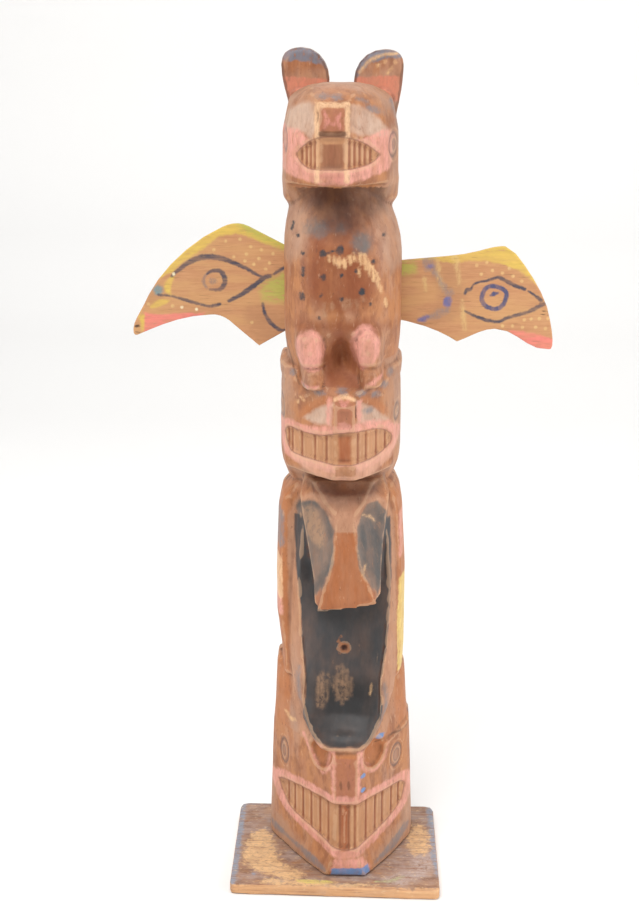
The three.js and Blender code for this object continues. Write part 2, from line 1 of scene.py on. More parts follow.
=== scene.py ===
# Carved and painted totem pole on a thin board, with two wing boards on its flat back.
# Sizes and places are in millimetres from the middle of the board's underside:
# x to the viewer's right, y away from the viewer, z up.
import math

import bmesh
import bpy
import numpy as np
from bpy.props import FloatProperty, FloatVectorProperty, IntProperty, PointerProperty
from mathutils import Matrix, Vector


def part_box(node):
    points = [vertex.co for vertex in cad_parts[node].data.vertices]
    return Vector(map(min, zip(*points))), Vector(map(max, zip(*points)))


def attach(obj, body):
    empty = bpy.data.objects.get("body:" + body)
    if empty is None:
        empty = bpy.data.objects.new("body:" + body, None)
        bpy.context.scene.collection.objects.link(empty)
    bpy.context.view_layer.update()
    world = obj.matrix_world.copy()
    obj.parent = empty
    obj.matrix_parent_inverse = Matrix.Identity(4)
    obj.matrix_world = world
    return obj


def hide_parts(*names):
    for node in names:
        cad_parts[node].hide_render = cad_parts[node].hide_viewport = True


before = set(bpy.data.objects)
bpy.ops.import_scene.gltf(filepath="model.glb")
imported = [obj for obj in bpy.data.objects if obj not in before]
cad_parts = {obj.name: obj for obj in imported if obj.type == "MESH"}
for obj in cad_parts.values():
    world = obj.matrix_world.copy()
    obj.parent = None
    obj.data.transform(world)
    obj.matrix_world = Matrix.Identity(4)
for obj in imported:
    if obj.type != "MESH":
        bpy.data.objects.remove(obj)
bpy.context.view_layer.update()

bl_info = {
    "name": "Totem Pole",
    "version": (1, 0, 0),
    "blender": (4, 5, 0),
    "location": "3D View > Sidebar > Totem Pole",
    "description": "Carved and painted totem pole with wing boards, on a thin base board",
    "category": "Object",
}

MM = 0.001
NOWHERE = -90.0     # a field value far outside any mark
FIELD_LIMIT = 12.0  # how far from its edge a stored field is still told apart
BACK_CUT = 23.5     # y from which the pole is closed with straight walls, behind all its carving
GLOSS_PATCHES = 180.0  # how many times a metre the gloss varies
GRAIN_HEIGHT = 0.15  # height of the grain, in mm

# The stage: the floor's section (y, z) in metres, and each light's place, width in metres and watts.
FLOOR_SECTION = [(-1.6, 0.0), (0.9, 0.0), (1.15, 0.035), (1.32, 0.14), (1.4, 0.35), (1.42, 2.2)]
FLOOR_HALF_WIDTH = 2.5
LIGHTS = {
    "Key": ((-0.3, -0.75, 1.35), 0.9, 15.0),
    "Left side": ((-1.25, -0.25, 0.55), 1.0, 6.0),
    "Right side": ((1.25, -0.35, 0.55), 1.0, 12.0),
    "Back": ((0.2, 0.8, 1.4), 1.0, 5.0),
}
LIGHT_AIM = (0, 0, 0.2)
STUDIO_LIGHT = 0.38
CAMERA_PLACE = (14.67, -747.3, 457.6)
CAMERA_TILT, CAMERA_TURN = 73.02, 1.81
CAMERA_LENS, CAMERA_SENSOR = 59.95, 36

# ---------------------------------------------------------------- the three mouths
# Corners, the curves above and below, and the places of the upright tooth cuts.
MOUTHS = {
    "top": {
        "left": (-19.6, 384.8), "right": (20.4, 383.8),
        "upper": [(-15.2, 389.2), (-8.6, 392.9), (3.7, 393.1), (11.6, 390.4), (16.3, 387.2)],
        "lower": [(-17.7, 381.4), (-13.2, 378.6), (-4.6, 378.4), (8.4, 378.7), (16.4, 380.8)],
        "cuts": [-16.6, -14.4, -12.4, -10.4, 5.8, 8.2, 10.6, 13, 15.6],
    },
    "middle": {
        "left": (-26.2, 246), "right": (28, 244),
        "upper": [(-23.6, 248.8), (-16.7, 248.2), (-6.9, 249.2), (0, 251.6), (8.4, 252.2), (14, 251.6),
                  (20, 250.8), (24.8, 248)],
        "lower": [(-23.6, 237), (-17.3, 235.6), (-10, 235.6), (-0.3, 235.6), (8.5, 235.6), (19.8, 236.9),
                  (26.8, 240.6)],
        "cuts": [-24, -22.3, -17.2, -10.5, -4.7, 10.9, 14.8, 19.8, 24.3],
    },
    "bottom": {
        "left": (-31.6, 43.6), "right": (37.8, 42.2),
        "upper": [(-24.9, 46.8), (-15.6, 48.9), (-6.7, 49.8), (0.8, 49.6), (11.8, 49.4), (19.7, 48.8),
                  (27.8, 47.2), (34.6, 45.4)],
        "lower": [(-26.1, 33), (-19.1, 29.9), (-12.8, 28.6), (-6.1, 26.4), (-0.2, 23.6), (5.6, 22.2),
                  (10.9, 23.2), (16.2, 25), (22.6, 27.2), (29.7, 29.6), (35.8, 33.8)],
        "cuts": [-25.6, -22, -17.4, -12.8, -7.8, -3.4, 2.9, 7.6, 10.8, 16.6, 21.4, 25.2, 30.2, 34.1],
    },
}

# Grooved ovals on the sides of the heads: middle (x, z) and half sizes.
SIDE_OVALS = {
    "top": [((-25.5, 390.2), (1.2, 5)), ((26.8, 387.4), (2, 5.6))],
    "middle": [((-28.3, 256.6), (1.5, 5.4)), ((30.4, 254.7), (1.3, 4))],
    "bottom": [((-28.1, 63), (2.2, 7)), ((32.7, 63.6), (2.9, 6.2))],
}

# Places whose hollow is softer than in the solid: outline, and how much of the hollow is kept.
SOFT_HOLLOWS = [
    ([(-21, 394), (-20, 403), (-15, 408.6), (-9, 409), (-8.8, 392.6), (-15, 391)], 0.2),
    ([(5, 409), (13, 408.4), (18.6, 404), (21.8, 398), (21.4, 392.4), (13, 390.8), (5, 392.6)], 0.45),
    ([(-18.4, 252.4), (-18.4, 263), (-11, 271), (-0.8, 271.4), (-1, 252), (-9, 251.4)], 0.22),
    ([(9.2, 271.4), (18.6, 270.8), (26.4, 262.6), (26.4, 252), (17, 251), (9.4, 252)], 0.22),
    ([(-6.4, 266), (-5.6, 290), (-3, 299), (2, 303.5), (7, 301.6), (10.4, 294), (11.4, 266)], 0.2),
    ([(-24, 296), (-21, 306), (-12, 309), (-4, 305), (-4, 296), (-12, 299)], 0.45),
    ([(5, 298), (5, 306), (14, 310), (23, 306), (25, 297), (14, 301)], 0.45),
]


# ---------------------------------------------------------------- curves and distances on the front view
def smooth(points, closed=False, steps=6):
    """A Catmull-Rom curve through the points."""
    points = np.asarray(points, float)
    count = len(points)
    before = np.roll(points, 1, 0) if closed else np.vstack([points[:1], points[:-1]])
    after = np.roll(points, -1, 0) if closed else np.vstack([points[1:], points[-1:]])
    last = np.roll(after, -1, 0) if closed else np.vstack([points[2:], points[-1:], points[-1:]])
    out = []
    for i in range(count if closed else count - 1):
        for t in np.arange(steps) / steps:
            out.append(0.5 * (2 * points[i] + (after[i] - before[i]) * t
                              + (2 * before[i] - 5 * points[i] + 4 * after[i] - last[i]) * t ** 2
                              + (3 * points[i] - before[i] - 3 * after[i] + last[i]) * t ** 3))
    if not closed:
        out.append(points[-1])
    return np.array(out)


def path_distance(u, v, path):
    """Distance from each point (u, v) to a run of straight steps, and how far along the run it is nearest."""
    nearest = np.full(len(u), 1e9)
    along = np.zeros(len(u))
    for step, ((u0, v0), (u1, v1)) in enumerate(zip(path[:-1], path[1:])):
        du, dv = u1 - u0, v1 - v0
        length = du * du + dv * dv or 1e-9
        t = np.clip(((u - u0) * du + (v - v0) * dv) / length, 0, 1)
        distance = np.hypot(u - u0 - t * du, v - v0 - t * dv)
        along = np.where(distance < nearest, (step + t) / (len(path) - 1), along)
        nearest = np.minimum(nearest, distance)
    return nearest, along


def outline_field(u, v, outline):
    """Distance to a closed outline, above zero inside it."""
    ring = np.vstack([outline, outline[:1]])
    inside = np.zeros(len(u), bool)
    for (u0, v0), (u1, v1) in zip(ring[:-1], ring[1:]):
        crosses = (v0 > v) != (v1 > v)
        if v1 != v0:
            inside ^= crosses & (u < (u1 - u0) * (v - v0) / (v1 - v0) + u0)
    return np.where(inside, 1, -1) * path_distance(u, v, ring)[0]


def mouth_outline(mouth):
    """The closed line round a mouth, from its two curves."""
    top = smooth([mouth["left"], *mouth["upper"], mouth["right"]])
    bottom = smooth([mouth["left"], *mouth["lower"], mouth["right"]])[::-1]
    return np.vstack([top, bottom[1:-1]])


def zigzag(u, cuts):
    """Distance to the nearest cut, with its sign changing at each cut, so that it runs straight through zero."""
    cuts = np.sort(np.asarray(cuts, float))
    tooth = np.searchsorted(cuts, u)
    below = np.where(tooth > 0, u - cuts[np.maximum(tooth - 1, 0)], 1e9)
    above = np.where(tooth < len(cuts), cuts[np.minimum(tooth, len(cuts) - 1)] - u, 1e9)
    return np.minimum(below, above) * np.where(tooth % 2, 1, -1)


def read(items, name, width, kind=float):
    """One value of every item of a mesh as an array, one row for each item."""
    values = np.zeros(len(items) * width, kind)
    items.foreach_get(name, values)
    return values.reshape(-1, width)


def store_number(mesh, name, values):
    """Keeps one number for each point of a mesh."""
    layer = mesh.attributes.get(name) or mesh.attributes.new(name, "FLOAT", "POINT")
    layer.data.foreach_set("value", values.astype(np.float32))


def neighbour_mean(values, ends):
    """The mean of what each point's neighbours have, along the edges given by their two ends."""
    a, b = ends.T
    count = len(values)
    joined = np.maximum(np.bincount(a, minlength=count) + np.bincount(b, minlength=count), 1)
    return np.stack([(np.bincount(a, values[b, k], count) + np.bincount(b, values[a, k], count)) / joined
                     for k in range(values.shape[1])], 1)


class Brush:
    """Lays marks on a mesh as number fields in millimetres: above zero is inside the mark.

    Marks are drawn on the view along one axis, where u and v are the two others."""

    def __init__(self, piece, u=0, v=2):
        self.mesh = piece.data
        self.place = read(self.mesh.vertices, "co", 3) / MM
        self.normal = read(self.mesh.vertex_normals, "vector", 3)
        self.x, self.y, self.z = self.place.T
        self.u, self.v = self.place[:, u], self.place[:, v]
        self.fields = {}
        self.where = np.ones(len(self.place), bool)

    def only(self, where):
        """Keeps the marks that follow to these points."""
        self.where = where

    def near(self, points, margin):
        """The points of the mesh that a mark could reach."""
        low, high = np.min(points, 0) - margin, np.max(points, 0) + margin
        return (self.where & (self.u > low[0]) & (self.u < high[0]) & (self.v > low[1]) & (self.v < high[1]))

    def lay(self, name, chosen, values):
        """Joins values for the chosen points to a mark."""
        field = self.fields.setdefault(name, np.full(len(self.u), NOWHERE))
        field[chosen] = np.maximum(field[chosen], values)

    def area(self, name, outline, rounded=False):
        outline = smooth(outline, closed=True) if rounded else np.asarray(outline, float)
        chosen = self.near(outline, 12)
        self.lay(name, chosen, outline_field(self.u[chosen], self.v[chosen], outline))

    def stroke(self, name, path, width, rounded=True, closed=False):
        """A brush stroke; its width may be one number or several, from its start to its end."""
        if rounded and len(path) > 2:
            path = smooth(path, closed)
        path = np.asarray(path, float)
        if closed:
            path = np.vstack([path, path[:1]])
        widths = np.atleast_1d(width).astype(float)
        chosen = self.near(path, widths.max() + 6)
        distance, along = path_distance(self.u[chosen], self.v[chosen], path)
        half = np.interp(along, np.linspace(0, 1, len(widths)), widths) / 2
        self.lay(name, chosen, half - distance)

    def oval(self, name, middle, radii, turn=0.0):
        chosen = self.near([middle], max(radii) + 8)
        du, dv = self.u[chosen] - middle[0], self.v[chosen] - middle[1]
        c, s = math.cos(math.radians(turn)), math.sin(math.radians(turn))
        du, dv = c * du + s * dv, c * dv - s * du
        self.lay(name, chosen, (1 - np.hypot(du / radii[0], dv / radii[1])) * min(radii))

    def dots(self, name, spots, radius):
        for spot in spots:
            self.oval(name, spot, (radius, radius))

    def block_out(self, name, other):
        """Takes another mark's ground away from a mark."""
        self.fields[name] = np.minimum(self.fields[name], -self.fields[other])

    def store(self, names):
        """Keeps the marks in the mesh, where the relief and the paint read them."""
        for name in names:
            values = self.fields.get(name, np.full(len(self.u), NOWHERE))
            store_number(self.mesh, name, np.clip(values, -FIELD_LIMIT, FIELD_LIMIT))


# ---------------------------------------------------------------- meshes
def new_piece(name, mesh):
    mesh.name = name
    piece = bpy.data.objects.new(name, mesh)
    bpy.context.scene.collection.objects.link(piece)
    return piece


def solid_copy(node, name):
    """One merged, outward-facing copy of a solid of the frame."""
    bm = bmesh.new()
    bm.from_mesh(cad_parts[node].data)
    bmesh.ops.remove_doubles(bm, verts=bm.verts, dist=0.005 * MM)
    bmesh.ops.recalc_face_normals(bm, faces=bm.faces)
    mesh = bpy.data.meshes.new(name)
    bm.to_mesh(mesh)
    bm.free()
    return new_piece(name, mesh)


def make_plain(piece):
    """Turns the piece's modifiers into its mesh and takes them off."""
    graph = bpy.context.evaluated_depsgraph_get()
    mesh = bpy.data.meshes.new_from_object(piece.evaluated_get(graph), preserve_all_data_layers=True,
                                           depsgraph=graph)
    piece.modifiers.clear()
    old = piece.data
    piece.data = mesh
    bpy.data.meshes.remove(old)
    return piece


def dense(piece, spacing, smoothing):
    """An even fine mesh over the piece, its sharp edges eased."""
    remesh = piece.modifiers.new("Even mesh", "REMESH")
    remesh.mode = "VOXEL"
    remesh.voxel_size = spacing * MM
    ease = piece.modifiers.new("Ease", "SMOOTH")
    ease.factor = 0.5
    ease.iterations = smoothing
    return make_plain(piece)


def open_back_to_flat(piece, front_of, back):
    """Keeps the fine mesh in front of a plane, and closes the back with straight walls and one flat face."""
    bm = bmesh.new()
    bm.from_mesh(piece.data)
    bmesh.ops.bisect_plane(bm, geom=bm.verts[:] + bm.edges[:] + bm.faces[:], plane_co=(0, front_of * MM, 0),
                           plane_no=(0, 1, 0), clear_outer=True, dist=1e-7)
    rim = [edge for edge in bm.edges if edge.is_boundary]
    walls = bmesh.ops.extrude_edge_only(bm, edges=rim)["geom"]
    far = [v for v in walls if isinstance(v, bmesh.types.BMVert)]
    for vert in far:
        vert.co.y = back * MM
    ends = [e for e in walls if isinstance(e, bmesh.types.BMEdge) and e.is_boundary]
    bmesh.ops.triangle_fill(bm, edges=ends, use_beauty=True, normal=(0, 1, 0))
    bmesh.ops.recalc_face_normals(bm, faces=bm.faces)
    bm.to_mesh(piece.data)
    bm.free()


def worn_edges(piece, narrow=3, broad=12):
    """Stores how sharply each point stands out of (above zero) or lies in (below zero) its surroundings, in mm.

    What an evenly rounded form gives is taken away, so that only edges and creases are left."""
    mesh = piece.data
    place = read(mesh.vertices, "co", 3)
    normal = read(mesh.vertex_normals, "vector", 3)
    ends = read(mesh.edges, "vertices", 2, np.int64)

    def height_over(eased):
        return ((place - eased) * normal).sum(1)

    eased = place
    for step in range(broad):
        eased = neighbour_mean(eased, ends)
        if step == narrow - 1:
            near = height_over(eased)
    standing = np.clip((near - height_over(eased) * narrow / broad) / MM, -0.5, 0.5)[:, None]
    store_number(mesh, "standing", neighbour_mean(standing, ends)[:, 0])


def finish_piece(piece, node):
    """Smooths a piece's shading and ties it to the solid that it stands for."""
    for polygon in piece.data.polygons:
        polygon.use_smooth = True
    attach(piece, "root")
    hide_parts(node)


# ---------------------------------------------------------------- node helpers
def feed(tree, socket, value):
    """Links another socket to a socket, or sets a plain value on it."""
    if isinstance(value, bpy.types.NodeSocket):
        tree.links.new(value, socket)
    else:
        socket.default_value = value


def add_node(tree, kind, values=None, **settings):
    node = tree.nodes.new(kind)
    for key, value in settings.items():
        setattr(node, key, value)
    for key, value in (values or {}).items():
        feed(tree, node.inputs[key], value)
    return node


def new_tree(name, kind, inputs, outputs):
    """A node group with its named sockets: (name, type, default) in, (name, type) out."""
    tree = bpy.data.node_groups.new(name, kind)
    for label, socket, default in inputs:
        made = tree.interface.new_socket(name=label, in_out="INPUT", socket_type=socket)
        if default is not None:
            made.default_value = default
    for label, socket in outputs:
        tree.interface.new_socket(name=label, in_out="OUTPUT", socket_type=socket)
    return tree, tree.nodes.new("NodeGroupInput").outputs, tree.nodes.new("NodeGroupOutput").inputs


def maths(tree, operation, *values, clamp=False):
    node = tree.nodes.new("ShaderNodeMath")
    node.operation = operation
    node.use_clamp = clamp
    for socket, value in zip(node.inputs, values):
        feed(tree, socket, value)
    return node.outputs[0]


def ramp(tree, value, low, high, start=0.0, end=1.0):
    """Runs smoothly from start to end as the value goes from low to high."""
    node = add_node(tree, "ShaderNodeMapRange", {0: value, 1: low, 2: high, 3: start, 4: end},
                    interpolation_type="SMOOTHSTEP")
    return node.outputs[0]


def blend(tree, factor, under, over, mode="MIX"):
    node = add_node(tree, "ShaderNodeMix", data_type="RGBA", blend_type=mode)
    for socket, value in ((0, factor), (6, under), (7, over)):
        feed(tree, node.inputs[socket], value)
    return node.outputs[2]


def noise(tree, vector, scale, detail=3.0, roughness=0.55, distortion=0.0):
    return add_node(tree, "ShaderNodeTexNoise", {
        "Vector": vector, "Scale": scale, "Detail": detail, "Roughness": roughness, "Distortion": distortion,
    }).outputs[0]


def colour(rgb):
    return (*rgb, 1.0)


# ---------------------------------------------------------------- relief, made with Geometry Nodes
def relief_tree():
    """Cuts the grooves that the fields mark and leaves shallow knife facets, then sets the material."""
    tree, given, result = new_tree("Knife relief", "GeometryNodeTree", [
        ("Geometry", "NodeSocketGeometry", None),
        ("Tooth Cut Depth", "NodeSocketFloat", 0.6), ("Tooth Cut Width", "NodeSocketFloat", 1.0),
        ("Outline Depth", "NodeSocketFloat", 0.3), ("Groove Depth", "NodeSocketFloat", 0.45),
        ("Knot Depth", "NodeSocketFloat", 2.0),
        ("Facet Depth", "NodeSocketFloat", 0.12), ("Facet Length", "NodeSocketFloat", 14.0),
        ("Facet Width", "NodeSocketFloat", 5.0), ("Seed", "NodeSocketInt", 1),
        ("Material", "NodeSocketMaterial", None),
    ], [("Geometry", "NodeSocketGeometry")])

    def field(name):
        return add_node(tree, "GeometryNodeInputNamedAttribute", {"Name": name}, data_type="FLOAT").outputs[0]

    def groove(name, half_width, depth):
        return maths(tree, "MULTIPLY", ramp(tree, maths(tree, "ABSOLUTE", field(name)), half_width, 0.1), depth)

    half = maths(tree, "MULTIPLY", given["Tooth Cut Width"], 0.75)
    in_mouth = ramp(tree, field("mouth"), 0.0, 0.8)
    teeth = maths(tree, "MULTIPLY", groove("tooth", half, given["Tooth Cut Depth"]), in_mouth)
    outline = groove("mouth", 0.9, given["Outline Depth"])
    rings = groove("ring", 0.7, given["Groove Depth"])
    knot = maths(tree, "MULTIPLY", ramp(tree, field("knot"), -0.6, 1.2), given["Knot Depth"])
    cut = maths(tree, "ADD", maths(tree, "MAXIMUM", teeth, outline), maths(tree, "ADD", rings, knot))

    place = add_node(tree, "GeometryNodeInputPosition").outputs[0]
    per_length = maths(tree, "DIVIDE", 1 / MM, given["Facet Length"])
    per_width = maths(tree, "DIVIDE", 1 / MM, given["Facet Width"])
    stretch = add_node(tree, "ShaderNodeCombineXYZ", {0: per_width, 1: per_width, 2: per_length}).outputs[0]
    scaled = add_node(tree, "ShaderNodeVectorMath", {0: place, 1: stretch}, operation="MULTIPLY").outputs[0]
    facets = add_node(tree, "ShaderNodeTexNoise", {"Vector": scaled, "W": given["Seed"], "Scale": 1.0,
                                                   "Detail": 1.0, "Roughness": 0.4}, noise_dimensions="4D")
    facet = maths(tree, "MULTIPLY", maths(tree, "SUBTRACT", facets.outputs[0], 0.5), given["Facet Depth"])
    raised = maths(tree, "MULTIPLY", maths(tree, "SUBTRACT", facet, cut), MM)
    along = add_node(tree, "ShaderNodeVectorMath", {0: add_node(tree, "GeometryNodeInputNormal").outputs[0],
                                                    "Scale": raised}, operation="SCALE").outputs[0]
    carved = add_node(tree, "GeometryNodeSetPosition", {"Geometry": given["Geometry"], "Offset": along})
    real = add_node(tree, "GeometryNodeRealizeInstances", {0: carved.outputs[0]})
    done = add_node(tree, "GeometryNodeSetMaterial", {"Geometry": real.outputs[0], "Material": given["Material"]})
    tree.links.new(done.outputs[0], result[0])
    return tree


def soften_hollows(piece, rounds=160):
    """Lets the surface inside each outline rise part of the way to a skin stretched over its rim."""
    mesh = piece.data
    place = read(mesh.vertices, "co", 3)
    ends = read(mesh.edges, "vertices", 2, np.int64)
    for outline, kept in SOFT_HOLLOWS:
        x, y, z = place.T / MM
        inside = (outline_field(x, z, np.array(outline)) > 0) & (y < 8)
        near = ends[inside[ends].any(1)]
        skin = place.copy()
        for _ in range(rounds):
            skin[inside] = neighbour_mean(skin, near)[inside]
        place[inside] = kept * place[inside] + (1 - kept) * skin[inside]
    mesh.vertices.foreach_set("co", place.ravel())
    mesh.update()


def carve(piece, material, **values):
    tree = bpy.data.node_groups.get("Knife relief") or relief_tree()
    modifier = piece.modifiers.new("Relief", "NODES")
    modifier.node_group = tree
    sockets = {item.name: item.identifier for item in tree.interface.items_tree if item.in_out == "INPUT"}
    for label, value in {"Material": material, **values}.items():
        modifier[sockets[label]] = value
    return make_plain(piece)


# ---------------------------------------------------------------- shader groups
def grain_group():
    """Wood seen through a thin stain: long streaks with finer fibres in them."""
    tree, given, result = new_tree("Wood grain", "ShaderNodeTree", [
        ("Vector", "NodeSocketVector", None), ("Light", "NodeSocketColor", (0.5, 0.27, 0.14, 1)),
        ("Dark", "NodeSocketColor", (0.25, 0.1, 0.05, 1)), ("Streak Width", "NodeSocketFloat", 2.5),
        ("Contrast", "NodeSocketFloat", 1.0), ("Stretch", "NodeSocketVector", (1, 1, 0.08)),
    ], [("Color", "NodeSocketColor"), ("Height", "NodeSocketFloat")])
    long = add_node(tree, "ShaderNodeVectorMath", {0: given["Vector"], 1: given["Stretch"]},
                    operation="MULTIPLY").outputs[0]
    scale = maths(tree, "DIVIDE", 1 / MM, given["Streak Width"])
    streaks = noise(tree, long, scale, 4, 0.6, 0.4)
    fibres = noise(tree, long, maths(tree, "MULTIPLY", scale, 5.0), 3, 0.7)
    clouds = noise(tree, given["Vector"], 55.0, 3, 0.6)
    mixed = maths(tree, "ADD", maths(tree, "MULTIPLY", streaks, 0.5),
                  maths(tree, "ADD", maths(tree, "MULTIPLY", fibres, 0.28), maths(tree, "MULTIPLY", clouds, 0.22)))
    spread = maths(tree, "DIVIDE", 0.24, given["Contrast"])
    value = ramp(tree, mixed, maths(tree, "SUBTRACT", 0.5, spread), maths(tree, "ADD", 0.5, spread))
    tree.links.new(blend(tree, value, given["Dark"], given["Light"]), result["Color"])
    tree.links.new(maths(tree, "ADD", fibres, streaks), result["Height"])
    return tree


def paint_group():
    """One brushed coat: its edge wanders, it is rubbed through along the grain and it lies thick and thin."""
    tree, given, result = new_tree("Worn paint", "ShaderNodeTree", [
        ("Vector", "NodeSocketVector", None), ("Under", "NodeSocketColor", (0.4, 0.2, 0.1, 1)),
        ("Paint", "NodeSocketColor", (0.8, 0.3, 0.25, 1)), ("Field", "NodeSocketFloat", -10.0),
        ("Softness", "NodeSocketFloat", 0.5), ("Wander", "NodeSocketFloat", 0.8),
        ("Wear", "NodeSocketFloat", 0.35), ("Cover", "NodeSocketFloat", 1.0), ("Thin", "NodeSocketFloat", 0.35),
        ("Patch Size", "NodeSocketFloat", 4.0), ("Stretch", "NodeSocketVector", (1, 1, 0.4)),
    ], [("Color", "NodeSocketColor"), ("Mask", "NodeSocketFloat")])
    scale = maths(tree, "DIVIDE", 1 / MM, given["Patch Size"])
    long = add_node(tree, "ShaderNodeVectorMath", {0: given["Vector"], 1: given["Stretch"]},
                    operation="MULTIPLY").outputs[0]
    edge_noise = noise(tree, given["Vector"], scale, 3, 0.62)
    rub_noise = noise(tree, long, maths(tree, "MULTIPLY", scale, 2.2), 5, 0.7, 0.3)
    thick_noise = noise(tree, long, maths(tree, "MULTIPLY", scale, 0.7), 3, 0.6)
    shift = maths(tree, "MULTIPLY", maths(tree, "SUBTRACT", edge_noise, 0.5),
                  maths(tree, "MULTIPLY", given["Wander"], 3.0))
    placed = maths(tree, "ADD", given["Field"], shift)
    coat = ramp(tree, placed, maths(tree, "MULTIPLY", given["Softness"], -1.0), given["Softness"])
    start = maths(tree, "MULTIPLY_ADD", given["Wear"], 0.55, 0.08)
    kept = ramp(tree, rub_noise, start, maths(tree, "ADD", start, 0.22))
    thick = ramp(tree, thick_noise, 0.3, 0.66, maths(tree, "SUBTRACT", 1.0, given["Thin"]), 1.0)
    mask = maths(tree, "MULTIPLY", maths(tree, "MULTIPLY", coat, kept),
                 maths(tree, "MULTIPLY", thick, given["Cover"]), clamp=True)
    tone = ramp(tree, rub_noise, 0.3, 0.7, 0.9, 1.08)
    toned = blend(tree, 1.0, given["Paint"], tone, "MULTIPLY")
    tree.links.new(blend(tree, mask, given["Under"], toned), result["Color"])
    tree.links.new(mask, result["Mask"])
    return tree


def wear_group():
    """Rubs proud edges down to bare wood and darkens the creases and hollows."""
    tree, given, result = new_tree("Edge wear", "ShaderNodeTree", [
        ("Vector", "NodeSocketVector", None), ("Color", "NodeSocketColor", None),
        ("Standing", "NodeSocketFloat", 0.0), ("Bare", "NodeSocketColor", (0.72, 0.45, 0.26, 1)),
        ("Crease Colour", "NodeSocketColor", (0.1, 0.05, 0.03, 1)), ("Rub", "NodeSocketFloat", 0.7),
        ("Crease Darkening", "NodeSocketFloat", 0.7), ("Reach", "NodeSocketFloat", 0.045),
    ], [("Color", "NodeSocketColor")])
    uneven = noise(tree, given["Vector"], 260.0, 4, 0.65)
    proud = maths(tree, "MULTIPLY", given["Standing"], maths(tree, "MULTIPLY_ADD", uneven, 2.0, 0.1))
    bare = maths(tree, "MULTIPLY", ramp(tree, proud, maths(tree, "MULTIPLY", given["Reach"], 0.35), given["Reach"]),
                 given["Rub"])
    sunk = maths(tree, "MULTIPLY", given["Standing"], -1.0)
    soiled = maths(tree, "MULTIPLY", ramp(tree, sunk, 0.0, maths(tree, "MULTIPLY", given["Reach"], 2.2)),
                   given["Crease Darkening"])
    dirty = blend(tree, soiled, given["Color"], given["Crease Colour"])
    tree.links.new(blend(tree, bare, dirty, given["Bare"]), result["Color"])
    return tree


def group_node(tree, name, maker, values):
    group = bpy.data.node_groups.get(name) or maker()
    node = tree.nodes.new("ShaderNodeGroup")
    node.node_tree = group
    for key, value in values.items():
        feed(tree, node.inputs[key], value)
    return node.outputs


class Coating:
    """A painted wood material, built up coat by coat."""

    def __init__(self, name, grain):
        self.material = bpy.data.materials.new(name)
        self.material.use_nodes = True
        self.tree = self.material.node_tree
        self.shader = self.tree.nodes["Principled BSDF"]
        self.vector = self.tree.nodes.new("ShaderNodeTexCoord").outputs["Object"]
        wood = group_node(self.tree, "Wood grain", grain_group, {"Vector": self.vector, **grain})
        self.color, self.height = wood["Color"], wood["Height"]
        self.masks = {}

    def field(self, name):
        return add_node(self.tree, "ShaderNodeAttribute", attribute_name=name).outputs["Fac"]

    def line(self, name, half_width):
        """A field that is above zero within half_width of where another field is zero."""
        return maths(self.tree, "SUBTRACT", half_width, maths(self.tree, "ABSOLUTE", self.field(name)))

    def coat(self, name, paint, field=None, **values):
        """Brushes one colour over the places that a field marks."""
        labels = {"soft": "Softness", "wander": "Wander", "wear": "Wear", "cover": "Cover", "thin": "Thin",
                  "patch": "Patch Size", "stretch": "Stretch"}
        given = {labels[key]: value for key, value in values.items()}
        made = group_node(self.tree, "Worn paint", paint_group, {
            "Vector": self.vector, "Under": self.color, "Paint": colour(paint),
            "Field": self.field(name) if field is None else field, **given})
        self.color = made["Color"]
        self.masks[name] = made["Mask"]

    def mottle(self, paint, size, share, cover, stretch=(1, 1, 0.5), edge=0.08):
        """Uneven patches, about as large as size in mm, over a share of the surface."""
        long = add_node(self.tree, "ShaderNodeVectorMath", {0: self.vector, 1: stretch},
                        operation="MULTIPLY").outputs[0]
        patches = noise(self.tree, long, 1 / (size * MM), 4, 0.62, 0.2)
        middle = 0.62 - 0.26 * share
        mask = maths(self.tree, "MULTIPLY", ramp(self.tree, patches, middle - edge, middle + edge), cover)
        self.color = blend(self.tree, mask, self.color, colour(paint))

    def wear(self, **values):
        """Rubs the proud edges and darkens the creases of everything laid on so far."""
        labels = {"bare": "Bare", "dirt": "Crease Colour", "rub": "Rub", "soil": "Crease Darkening", "reach": "Reach"}
        given = {labels[key]: value for key, value in values.items()}
        made = group_node(self.tree, "Edge wear", wear_group, {
            "Vector": self.vector, "Color": self.color, "Standing": self.field("standing"), **given})
        self.color = made["Color"]

    def close(self, rough, gloss_on=(), gloss_rough=0.45, bump=0.25):
        """Gives the shader its colour, its uneven gloss and the fine relief of the grain."""
        tree = self.tree
        tree.links.new(self.color, self.shader.inputs["Base Color"])
        value = ramp(tree, noise(tree, self.vector, GLOSS_PATCHES, 3), 0.3, 0.7, rough - 0.06, rough + 0.08)
        for name in gloss_on:
            value = add_node(tree, "ShaderNodeMix", {0: self.masks[name], 2: value, 3: gloss_rough}).outputs[0]
        tree.links.new(value, self.shader.inputs["Roughness"])
        relief = add_node(tree, "ShaderNodeBump", {"Strength": bump, "Distance": GRAIN_HEIGHT * MM,
                                                   "Height": self.height})
        tree.links.new(relief.outputs[0], self.shader.inputs["Normal"])
        self.shader.inputs["Specular IOR Level"].default_value = 0.32
        return self.material


